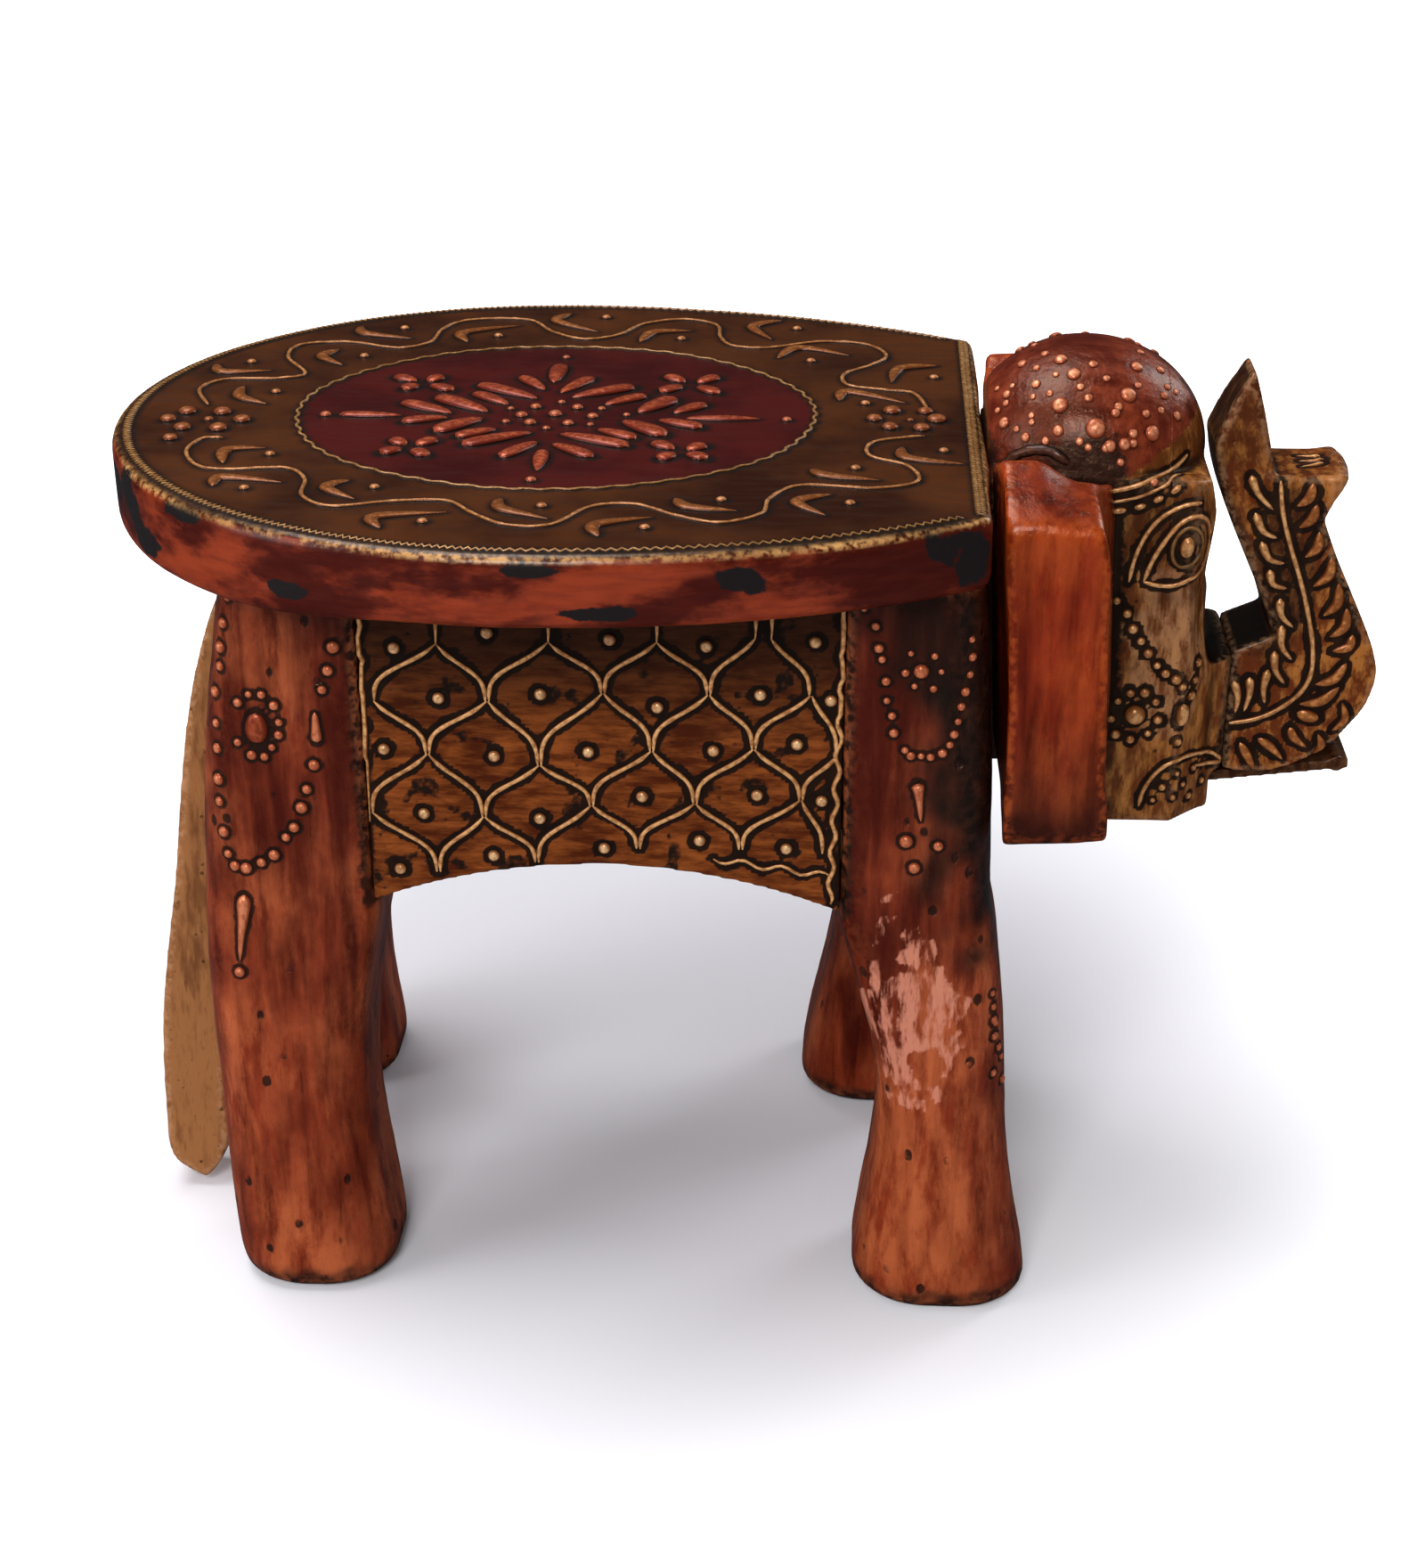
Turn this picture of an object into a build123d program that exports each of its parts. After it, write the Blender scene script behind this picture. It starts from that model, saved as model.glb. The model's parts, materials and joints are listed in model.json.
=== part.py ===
from build123d import *
import math
import os

# Carved elephant stool in solid wood, millimetres.
# +X points to the head, +Y to the elephant's left, +Z up; Z = 0 is the floor.
# Lengths along X are taken from the seat's widest line, heights from the seat's top unless a
# name says otherwise. The origin lies under the middle of the whole stool, tail to trunk.

# --- driving dimensions ---------------------------------------------------------------------
seat_height = 200.0         # floor to the seat's top
seat_width = 174.0
seat_thickness = 16.0
seat_rear = 97.5            # widest line to the rear of the plank
seat_front = 97.5           # widest line to the cut front edge
seat_front_edge = 121.0     # width left at the cut front edge
seat_edge_round = 2.5

rear_leg_line = 36.0        # widest line back to the rear legs' joint
front_overhang = 0.5        # seat's front edge ahead of the front legs' hips
side_overhang = 31.5        # carved face of a side rail out to the seat's widest edge
rail_thickness = 20.0
rail_drop = 80.0            # depth of a side rail at its ends
arch_rise = 10.5

leg_proud = 2.5             # how far a leg stands out from the carved face at the hip
leg_thickness = 36.0
foot_splay = 5.5            # how far a foot stands outside its hip
foot_inset = 0.5            # and how far its inner side moves out with it
leg_corner = 10.0
foot_corner = 17.0
foot_chamfer = 2.5
leg_lap = 3.5               # how far a leg's round runs on before its joint is planed flat
left_trail = 14.0           # how far the left pair of feet stands behind the right pair

# each leg from its joint outwards
rear_hip = 29.0
rear_haunch = 39.2
rear_shank_back = 5.5
rear_shank = 35.2
rear_foot_back = 0.5
rear_foot = 38.5
front_hip = 29.0
front_haunch = 33.5
front_shank_back = 9.6
front_shank = 30.0
front_foot_back = 4.6
front_foot = 43.0

rump_thickness = 26.0
rump_crown = 4.0            # how far the rump swells behind its ends
tail_flat = 0.5             # depth of the strip planed on the rump for the tail
chest_thickness = 24.0
end_rail_drop = 62.0        # depth of the rump rail and the chest rail

neck_width = 44.0
neck_drop = 58.0
neck_lap = 10.0             # how far the skull reaches back over the neck

head_slack = 0.3            # between the seat's front edge and the skull
head_width = 50.0
skull_length = 39.2         # skull's back to the glue line of the face
brow_depth = 12.5           # glue line to the forehead
mouth_depth = 18.6          # glue line to the trunk's root
crown_height = 19.3         # top of the dome above the seat
dome_set_back = 17.2        # glue line back to the middle of the dome
dome_length = 54.0
dome_depth = 48.0
brow_drop = 14.0            # seat's top down to where the forehead turns upright
cheek_bevel = 12.5          # length of the bevel from the cheek to the trunk's root
gap_floor = 50.0            # seat's top down to the top of the trunk's root
mouth_drop = 79.0           # seat's top down to the mouth
chin_depth = 8.0            # mouth down to the foot of the chin
chin_set_back = 3.0

ear_gap = 0.5               # front leg's haunch to the back of the ear
ear_lean = 2.5              # degrees an ear leans back, as the leg behind it does
ear_root = 26.0             # thickness of an ear where it joins the head
ear_rim = 22.0              # thickness of an ear at its rim
ear_outer = 56.0            # middle to the rim of an ear
ear_shoulder = 37.0         # middle to the highest point of an ear
ear_top = 7.0
ear_corner_drop = 5.0
ear_drop = 79.5
ear_lobe_rise = 16.0        # the ear's lower edge climbs this much from its rim to the head
ear_round = 2.5

trunk_reach = 33.0          # mouth to the bend of the trunk
trunk_root_width = 26.0
trunk_hook_width = 20.0
trunk_tip_width = 11.6
trunk_tip_height = 14.5     # tip of the leaf above the seat's top
hook_reach = 21.4           # mouth to the nose of the hook
hook_drop = 8.4

lip_reach = 30.0            # mouth to the end of the lip
lip_width = 18.0
lip_thickness = 2.6
lip_tenon = 6.0
lip_climb = 7.5             # degrees

tail_thickness = 14.0
tail_width = 15.0
tail_reach = 31.5           # rump to the back of the tail
tail_sway = 6.0             # degrees to the elephant's right
tail_root_drop = 50.0       # seat's top down to the tail's dowel
tail_lift = 1.0             # floor to the tail's tip

dowel = 8.0
dowel_length = 28.0
small_dowel = 6.0
small_dowel_length = 22.0
seat_dowel_length = 26.0
seat_dowel_depth = 10.0     # how far a leg's dowel goes into the seat
neck_dowel = 10.0
neck_dowel_depth = 13.0     # how far the neck's dowels go into the chest rail and the skull
tail_dowel_depth = 7.0      # how far the rump's dowel goes into the tail
dowel_slack = 0.1
dowel_end_room = 0.3

# --- what follows from them -----------------------------------------------------------------
front_leg_line = seat_front - front_overhang - front_hip
skull_back = seat_front + head_slack
neck_front = skull_back + neck_lap
chest_front = front_leg_line + chest_thickness
head_seam = skull_back + skull_length
brow_front = head_seam + brow_depth
mouth_front = head_seam + mouth_depth
rump_back = -rear_leg_line - rear_hip
tail_root = rump_back - rump_crown + tail_flat
rear_reach = tail_reach - tail_root
front_reach = mouth_front + trunk_reach
seat_x = (rear_reach - front_reach) / 2

under_seat = -seat_thickness
rail_face = seat_width / 2 - side_overhang
leg_outer = rail_face + leg_proud
legs_apart = 2 * (leg_outer - leg_thickness)
foot_outer = leg_outer + foot_splay
foot_inner = legs_apart / 2 + foot_inset
chin_drop = mouth_drop + chin_depth
rail_foot = under_seat - rail_drop
end_rail_foot = under_seat - end_rail_drop
neck_foot = under_seat - neck_drop
free_leg = seat_height + rail_foot
rail_middle = rail_face - rail_thickness / 2
leg_inner = legs_apart / 2
head_side = head_width / 2


def spot(x, y, z):
    """A point from the seat's widest line, the middle and the seat's top."""
    return (seat_x + x, y, seat_height + z)


def side_on(y=0.0):
    """Upright plane along the elephant: its x runs forward, its y up, and it faces right."""
    return Plane(origin=spot(0, y, 0), x_dir=(1, 0, 0), z_dir=(0, -1, 0))


def front_on(x):
    """Upright plane across the elephant: its x runs to the left, its y up, and it faces forward."""
    return Plane(origin=spot(x, 0, 0), x_dir=(0, 1, 0), z_dir=(1, 0, 0))


def level(z):
    """Level plane at a height from the seat's top."""
    return Plane(origin=spot(0, 0, z))


def along_x(x, y, z):
    return Plane(origin=spot(x, y, z), z_dir=(1, 0, 0))


def along_y(x, y, z):
    return Plane(origin=spot(x, y, z), z_dir=(0, 1, 0))


def drill(seats, diameter, length):
    """Dowel holes in the piece in hand; a seat is a plane square to its dowel, at its middle."""
    with Locations(*seats):
        Cylinder(diameter / 2 + dowel_slack, length + 2 * dowel_end_room, mode=Mode.SUBTRACT)


def pegs(seats, diameter, length):
    """The dowels that fill those holes."""
    with Locations(*seats):
        Cylinder(diameter / 2, length)


# --- dowel seats: each row lies at its own height, so that no two dowels meet inside a leg ----
ENDS = ("rear", "front")
SIDES = ("right", "left")
CORNERS = [(end, side) for end in ENDS for side in SIDES]
away = {"rear": -1, "front": 1}
side_sign = {"right": -1, "left": 1}
joint_x = {"rear": -rear_leg_line, "front": front_leg_line}
end_rail_x = {"rear": rump_back + rump_thickness / 2, "front": chest_front - chest_thickness / 2}
side_rows = (under_seat - 0.5 * rail_drop, under_seat - 0.84 * rail_drop)
end_rows = (under_seat - 0.3 * end_rail_drop, under_seat - 0.76 * end_rail_drop)
neck_rows = (under_seat - 0.3 * neck_drop, under_seat - 0.75 * neck_drop)
ear_rows = (-0.2 * ear_drop, -0.6 * ear_drop)
face_row = -(gap_floor + mouth_drop) / 2


def seat_seats(end, side):
    x = joint_x[end] + away[end] * dowel_length / 2
    z = under_seat + seat_dowel_depth - seat_dowel_length / 2
    return [Plane(origin=spot(x, side_sign[side] * rail_middle, z))]


def side_seats(end, side):
    return [along_x(joint_x[end], side_sign[side] * rail_middle, z) for z in side_rows]


def end_seats(end, side):
    return [along_y(end_rail_x[end], side_sign[side] * leg_inner, z) for z in end_rows]


ear_back = front_leg_line + front_haunch + ear_gap
ear_dowel_x = ear_back + ear_root / 2


def ear_seats(side):
    return [along_y(ear_dowel_x, side_sign[side] * head_side, z) for z in ear_rows]


neck_seats = [along_x((chest_front + neck_front) / 2, 0, z) for z in neck_rows]
neck_dowel_length = neck_front - chest_front + 2 * neck_dowel_depth
face_seats = [along_x(head_seam, y, face_row) for y in (-head_side / 2, head_side / 2)]
trunk_seats = [along_x(mouth_front, 0, face_row)]
tail_seats = [along_x(tail_root - tail_dowel_depth + small_dowel_length / 2, 0, -tail_root_drop)]

# --- seat: half an ellipse behind, a longer one cut straight in front --------------------------
front_axis = seat_front / math.sqrt(1 - (seat_front_edge / seat_width) ** 2)
cut_angle = math.degrees(math.asin(seat_front_edge / seat_width))

with BuildPart() as seat_plank:
    with BuildSketch(level(under_seat)):
        with BuildLine():
            EllipticalCenterArc((0, 0), seat_rear, seat_width / 2, 90, arc_size=180)
            right = EllipticalCenterArc((0, 0), front_axis, seat_width / 2, -90, arc_size=90 - cut_angle)
            left = EllipticalCenterArc((0, 0), front_axis, seat_width / 2, cut_angle, arc_size=90 - cut_angle)
            Line(right @ 1, left @ 0)
        make_face()
    extrude(amount=seat_thickness)
    fillet(seat_plank.edges().filter_by(Axis.Z).group_by(Axis.X)[-1], 1.5 * seat_edge_round)
    fillet(seat_plank.edges().group_by(Axis.Z)[-1], seat_edge_round)
    fillet(seat_plank.edges().group_by(Axis.Z)[0], seat_edge_round)
    for end, side in CORNERS:
        drill(seat_seats(end, side), dowel, seat_dowel_length)
seat_plank.part.label = "seat_plank"

# --- side rails: the carved flanks, arched below ----------------------------------------------
side_rails = {}
for side in SIDES:
    with BuildPart() as rail:
        with BuildSketch(side_on(side_sign[side] * rail_middle)):
            with BuildLine():
                rear_foot_corner = (-rear_leg_line, rail_foot)
                front_foot_corner = (front_leg_line, rail_foot)
                Polyline(rear_foot_corner, (-rear_leg_line, under_seat), (front_leg_line, under_seat))
                Line((front_leg_line, under_seat), front_foot_corner)
                crown = ((front_leg_line - rear_leg_line) / 2, rail_foot + arch_rise)
                ThreePointArc(front_foot_corner, crown, rear_foot_corner)
            make_face()
        extrude(amount=rail_thickness / 2, both=True)
        for end in ENDS:
            drill(side_seats(end, side), dowel, dowel_length)
    rail.part.label = f"side_rail_{side}"
    side_rails[side] = rail.part

# --- rump rail and chest rail, between the legs -----------------------------------------------
with BuildPart() as rump_rail:
    with BuildSketch(level(end_rail_foot)):
        with BuildLine():
            rump_front = rump_back + rump_thickness
            Polyline((rump_back, -leg_inner), (rump_front, -leg_inner), (rump_front, leg_inner))
            Line((rump_front, leg_inner), (rump_back, leg_inner))
            ThreePointArc((rump_back, leg_inner), (rump_back - rump_crown, 0), (rump_back, -leg_inner))
        make_face()
        with Locations((tail_root - tail_flat, 0)):
            Rectangle(2 * tail_flat, legs_apart, mode=Mode.SUBTRACT)
    extrude(amount=end_rail_drop)
    for side in SIDES:
        drill(end_seats("rear", side), dowel, dowel_length)
    drill(tail_seats, small_dowel, small_dowel_length)
rump_rail.part.label = "rump_rail"

with BuildPart() as chest_rail:
    with BuildSketch(level(end_rail_foot)):
        with Locations((end_rail_x["front"], 0)):
            Rectangle(chest_thickness, legs_apart)
    extrude(amount=end_rail_drop)
    for side in SIDES:
        drill(end_seats("front", side), dowel, dowel_length)
    drill(neck_seats, neck_dowel, neck_dowel_length)
chest_rail.part.label = "chest_rail"


# --- legs: lofted from the foot up, then planed flat for the rails ----------------------------
def leg_sections(hip, haunch, shank_back, shank, foot_back, foot):
    """Height as a share of the free leg, near and far side from the joint, corner, share of trail.

    The free leg runs from the floor to the foot of the side rails.
    """
    shank_front, foot_front = shank_back + shank, foot_back + foot
    knee_corner = (foot_corner + leg_corner) / 2
    top = 1 + rail_drop / free_leg
    return [
        (0.0, foot_back, foot_front, foot_corner, 1.0),
        (0.25, (foot_back + 2 * shank_back) / 3, (foot_front + 2 * shank_front) / 3, knee_corner, 0.95),
        (0.5, shank_back, shank_front, knee_corner, 0.75),
        (0.75, 0.6 * shank_back, (2 * shank_front + haunch) / 3, leg_corner, 0.4),
        (1.0, -0.3 * leg_lap, haunch, leg_corner, 0.1),
        ((1 + top) / 2, -leg_lap, (2 * haunch + hip) / 3, leg_corner, 0.0),
        (top, -leg_lap, hip, leg_corner, 0.0),
    ]


leg_shape = {
    "rear": (rear_hip, rear_haunch, rear_shank_back, rear_shank, rear_foot_back, rear_foot),
    "front": (front_hip, front_haunch, front_shank_back, front_shank, front_foot_back, front_foot),
}
haunch = {"rear": rear_haunch, "front": front_haunch}
legs = {}
for end, side in CORNERS:
    trail = left_trail if side == "left" else 0.0
    sections = leg_sections(*leg_shape[end])
    with BuildPart() as leg:
        for stretch in (sections[:5], sections[4:]):
            for share, near, far, corner, lag in stretch:
                climb = min(1.0, share)
                outer = foot_outer + (leg_outer - foot_outer) * climb
                inner = foot_inner + (leg_inner - leg_lap - foot_inner) * climb
                x = joint_x[end] + away[end] * (near + far) / 2 - trail * lag
                y = side_sign[side] * (inner + outer) / 2
                with BuildSketch(Plane(origin=(seat_x + x, y, share * free_leg))):
                    RectangleRounded(far - near, outer - inner, corner)
            loft()
        chamfer(leg.edges().group_by(Axis.Z)[0], foot_chamfer)
        with BuildSketch(level(rail_foot)):
            with Locations((joint_x[end] - away[end] * leg_lap, side_sign[side] * rail_middle)):
                Rectangle(2 * leg_lap, 2 * leg_outer)
        extrude(amount=rail_drop + seat_thickness, mode=Mode.SUBTRACT)
        with BuildSketch(level(end_rail_foot)):
            with Locations((joint_x[end], 0)):
                Rectangle(4 * haunch[end], legs_apart)
        extrude(amount=end_rail_drop + seat_thickness, mode=Mode.SUBTRACT)
        drill(seat_seats(end, side), dowel, seat_dowel_length)
        drill(side_seats(end, side), dowel, dowel_length)
        drill(end_seats(end, side), dowel, dowel_length)
    leg.part.label = f"leg_{end}_{side}"
    legs[end, side] = leg.part

# --- neck -------------------------------------------------------------------------------------
with BuildPart() as neck_block:
    with BuildSketch(side_on()):
        with BuildLine():
            Polyline((chest_front, neck_foot), (chest_front, under_seat), (neck_front, under_seat))
            Polyline((neck_front, under_seat), (neck_front, neck_foot), (chest_front, neck_foot))
        make_face()
    extrude(amount=neck_width / 2, both=True)
    drill(neck_seats, neck_dowel, neck_dowel_length)
neck_block.part.label = "neck_block"

# --- head: carved as one form, glued up from the skull and the face ---------------------------
dome_x = head_seam - dome_set_back
dome_z = crown_height - dome_depth / 2
dome_front = dome_x + dome_length / 2 - 1
chin_front = mouth_front - chin_set_back
lip_z = -(mouth_drop + chin_drop) / 2


def lip_plane():
    """Level plane of the lip's middle, climbing forward from the front of the chin."""
    climb = math.radians(lip_climb)
    forward = (math.cos(climb), 0, math.sin(climb))
    upward = (-math.sin(climb), 0, math.cos(climb))
    return Plane(origin=spot(chin_front, 0, lip_z), x_dir=forward, z_dir=upward)


with BuildPart() as dome:
    Sphere(0.5)
    split(bisect_by=Plane.XY)
    scale(by=(dome_length, head_width, dome_depth))

with BuildPart() as head:
    with BuildSketch(side_on()):
        with BuildLine():
            Polyline((neck_front, neck_foot), (neck_front, under_seat), (skull_back, under_seat))
            Polyline((skull_back, under_seat), (skull_back, dome_z), (dome_front, dome_z))
            Polyline((dome_front, dome_z), (brow_front, -brow_drop), (brow_front, -gap_floor))
            Polyline((brow_front, -gap_floor), (mouth_front, -gap_floor), (mouth_front, -mouth_drop))
            Polyline((mouth_front, -mouth_drop), (chin_front, -mouth_drop), (chin_front, -chin_drop))
            throat = ((chin_front + neck_front) / 2, -chin_drop)
            Line((chin_front, -chin_drop), throat)
            Bezier(throat, (neck_front, -chin_drop), (neck_front, neck_foot))
        make_face()
    extrude(amount=head_side, both=True)
    with BuildSketch(level(-chin_drop * 1.1)):
        for sign in side_sign.values():
            with BuildLine():
                bevel_back = mouth_front - cheek_bevel
                Polyline((bevel_back, sign * head_side), (mouth_front, sign * trunk_root_width / 2),
                         (mouth_front + 1, sign * trunk_root_width / 2), (mouth_front + 1, sign * head_side),
                         (bevel_back, sign * head_side))
            make_face()
    extrude(amount=chin_drop * 1.1 + dome_z, mode=Mode.SUBTRACT)
    with Locations(spot(dome_x, 0, dome_z)):
        add(dome.part)
    split(bisect_by=along_x(skull_back, 0, 0), keep=Keep.TOP)

with BuildPart() as head_block:
    add(head.part)
    split(bisect_by=along_x(head_seam, 0, 0), keep=Keep.BOTTOM)
    drill(neck_seats, neck_dowel, neck_dowel_length)
    drill(face_seats, small_dowel, small_dowel_length)
    for side in SIDES:
        drill(ear_seats(side), small_dowel, small_dowel_length)
head_block.part.label = "head_block"

with BuildPart() as face_block:
    add(head.part)
    split(bisect_by=along_x(head_seam, 0, 0), keep=Keep.TOP)
    drill(face_seats, small_dowel, small_dowel_length)
    drill(trunk_seats, dowel, small_dowel_length)
    with BuildSketch(lip_plane()):
        with Locations((lip_thickness - lip_tenon / 2 - dowel_end_room, 0)):
            Rectangle(lip_tenon + 2 * lip_thickness, lip_width + 2 * dowel_slack)
    extrude(amount=lip_thickness / 2 + dowel_slack, both=True, mode=Mode.SUBTRACT)
face_block.part.label = "face_block"

# --- lower lip: a thin slat let into the chin, with a thick rounded end -----------------------
with BuildPart() as lower_lip:
    lip_length = lip_reach + chin_set_back
    with BuildSketch(lip_plane()):
        with Locations(((lip_length - lip_tenon) / 2, 0)):
            Rectangle(lip_length + lip_tenon, lip_width)
    extrude(amount=lip_thickness / 2, both=True)
    with Locations(lip_plane()):
        with Locations(Location((lip_length - lip_thickness, 0, 0), (90, 0, 0))):
            Cylinder(0.75 * lip_thickness, lip_width)
lower_lip.part.label = "lower_lip"

# --- trunk: sawn to the side outline, then tapered from its root to the tip -------------------
with BuildPart() as trunk:
    bend = mouth_front + trunk_reach
    hook = mouth_front + hook_reach
    root_top = -gap_floor
    with BuildSketch(side_on()):
        with BuildLine():
            Line((mouth_front, -mouth_drop), (mouth_front, root_top))
            gap_corner = (mouth_front + 8.7, root_top + 4)
            Line((mouth_front, root_top), gap_corner)
            leaf_foot = (mouth_front + 2.3, 0.6 * root_top)
            leaf_heel = (brow_front - 1.6, -2)
            Spline(gap_corner, leaf_foot, (brow_front + 0.7, 0.25 * root_top), leaf_heel)
            leaf_tip = (mouth_front, trunk_tip_height)
            Spline(leaf_heel, (brow_front + 1, 0.35 * trunk_tip_height), leaf_tip)
            notch = (mouth_front + 5.9, -hook_drop)
            Spline(leaf_tip, (mouth_front + 3, 0.3 * trunk_tip_height), notch)
            chin_of_hook = (hook - 3.6, -hook_drop - 10)
            Polyline(notch, (hook, -hook_drop), chin_of_hook)
            low_bend = (bend - 6.6, -mouth_drop + 4.5)
            bulge_of_trunk = (bend, (root_top - mouth_drop) / 2.35)
            Spline(chin_of_hook, (hook + 1.9, -hook_drop - 20.5), (bend - 3.4, 0.84 * root_top),
                   bulge_of_trunk, (bend - 2.6, -mouth_drop + 13.5), low_bend)
            Spline(low_bend, (mouth_front + 8, -mouth_drop - 0.7), (mouth_front, -mouth_drop))
        make_face()
    extrude(amount=trunk_root_width, both=True)
    with BuildSketch(front_on(brow_front - trunk_reach)) as taper:
        with BuildLine():
            root, waist, tip = trunk_root_width / 2, trunk_hook_width / 2, trunk_tip_width / 2
            foot, top = -chin_drop, trunk_tip_height
            Polyline((-root, foot), (root, foot), (waist, -hook_drop), (tip, top))
            Polyline((tip, top), (-tip, top), (-waist, -hook_drop), (-root, foot))
        make_face()
    extrude(amount=3 * trunk_reach, mode=Mode.INTERSECT)
    drill(trunk_seats, dowel, small_dowel_length)
trunk.part.label = "trunk"

# --- ears: thick fans, thinner at the rim, their front faces swept back -----------------------
lean = math.radians(ear_lean)
ear_forward = (math.cos(lean), 0, math.sin(lean))
ear_face = Plane(origin=spot(ear_back, 0, -ear_drop), x_dir=(0, 1, 0), z_dir=ear_forward)
ear_plan = Plane(origin=ear_face.origin, x_dir=ear_face.z_dir, z_dir=ear_face.y_dir)
ears = {}
for side in SIDES:
    sign = side_sign[side]
    with BuildPart() as ear:
        with BuildSketch(ear_face) as fan:
            with BuildLine():
                shoulder = (sign * ear_shoulder, ear_drop + ear_top)
                top_of_root = (sign * head_side, ear_drop + 0.4 * ear_top)
                top_of_rim = (sign * ear_outer, ear_drop - ear_corner_drop)
                Polyline(top_of_root, shoulder, top_of_rim, (sign * ear_outer, 0))
                Polyline((sign * ear_outer, 0), (sign * head_side, ear_lobe_rise), top_of_root)
            make_face()
            rim_corners = fan.vertices().group_by(Axis.X)
            fillet(rim_corners[0 if sign < 0 else -1], 2 * ear_round)
        extrude(amount=ear_root)
        with BuildSketch(ear_plan):
            with BuildLine():
                Polyline((ear_root, -sign * head_side), (ear_rim, -sign * ear_outer),
                         (ear_root, -sign * ear_outer), (ear_root, -sign * head_side))
            make_face()
        extrude(amount=ear_drop + 2 * ear_top, mode=Mode.SUBTRACT)
        drill(ear_seats(side), small_dowel, small_dowel_length)
    ear.part.label = f"ear_{side}"
    ears[side] = ear.part

# --- tail: a slat swung a little to the elephant's right --------------------------------------
sway = math.radians(tail_sway)
tail_face = (0, -math.cos(sway), math.sin(sway))
tail_plane = Plane(origin=spot(0, 0, -tail_root_drop), x_dir=(1, 0, 0), z_dir=tail_face)
tail_drop = seat_height - tail_root_drop - tail_lift
tail_length = (tail_drop - tail_thickness / 2 * math.sin(sway)) / math.cos(sway)

with BuildPart() as tail:
    with BuildSketch(tail_plane):
        with BuildLine():
            root_top = (tail_root, 1.3 * tail_width)
            root_foot = (tail_root, -0.8 * tail_width)
            heel = (tail_root - tail_reach, -0.86 * tail_length)
            tip = (tail_root - tail_reach + 0.6 * tail_width, -tail_length)
            Spline(root_top, (tail_root - 0.53 * tail_reach, -0.1 * tail_length),
                   (tail_root - 0.79 * tail_reach, -0.45 * tail_length), heel, tangents=[(-1, -1), (0, -1)])
            Spline(heel, (tail_root - tail_reach + 0.15 * tail_width, -0.97 * tail_length), tip,
                   tangents=[(0, -1), (1, -0.5)])
            toe = (heel[0] + tail_width, heel[1])
            Spline(tip, (heel[0] + 0.95 * tail_width, -0.95 * tail_length), toe)
            Spline(toe, (tail_root - 0.79 * tail_reach + tail_width, -0.45 * tail_length), root_foot)
            Line(root_foot, root_top)
        make_face()
    extrude(amount=tail_thickness / 2, both=True)
    drill(tail_seats, small_dowel, small_dowel_length)
tail.part.label = "tail"

# --- dowels -----------------------------------------------------------------------------------
with BuildPart() as seat_dowels:
    for end, side in CORNERS:
        pegs(seat_seats(end, side), dowel, seat_dowel_length)
seat_dowels.part.label = "seat_dowels"

with BuildPart() as rail_dowels:
    for end, side in CORNERS:
        pegs(side_seats(end, side), dowel, dowel_length)
        pegs(end_seats(end, side), dowel, dowel_length)
rail_dowels.part.label = "rail_dowels"

with BuildPart() as neck_dowels:
    pegs(neck_seats, neck_dowel, neck_dowel_length)
neck_dowels.part.label = "neck_dowels"

with BuildPart() as face_dowels:
    pegs(face_seats, small_dowel, small_dowel_length)
face_dowels.part.label = "face_dowels"

with BuildPart() as trunk_dowel:
    pegs(trunk_seats, dowel, small_dowel_length)
trunk_dowel.part.label = "trunk_dowel"

with BuildPart() as ear_dowels:
    for side in SIDES:
        pegs(ear_seats(side), small_dowel, small_dowel_length)
ear_dowels.part.label = "ear_dowels"

with BuildPart() as tail_dowel:
    pegs(tail_seats, small_dowel, small_dowel_length)
tail_dowel.part.label = "tail_dowel"

# --- files ------------------------------------------------------------------------------------
os.makedirs("parts", exist_ok=True)
pieces = [seat_plank.part, rump_rail.part, chest_rail.part, neck_block.part, head_block.part, face_block.part,
          lower_lip.part, trunk.part, tail.part, seat_dowels.part, rail_dowels.part, neck_dowels.part,
          face_dowels.part, trunk_dowel.part, ear_dowels.part, tail_dowel.part]
pieces += list(side_rails.values()) + list(legs.values()) + list(ears.values())
for piece in pieces:
    export_step(piece, f"parts/{piece.label}.step")
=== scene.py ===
"""Carved elephant stool: lacquered wood with piped relief, antique gold and copper."""

import math
import random

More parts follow.
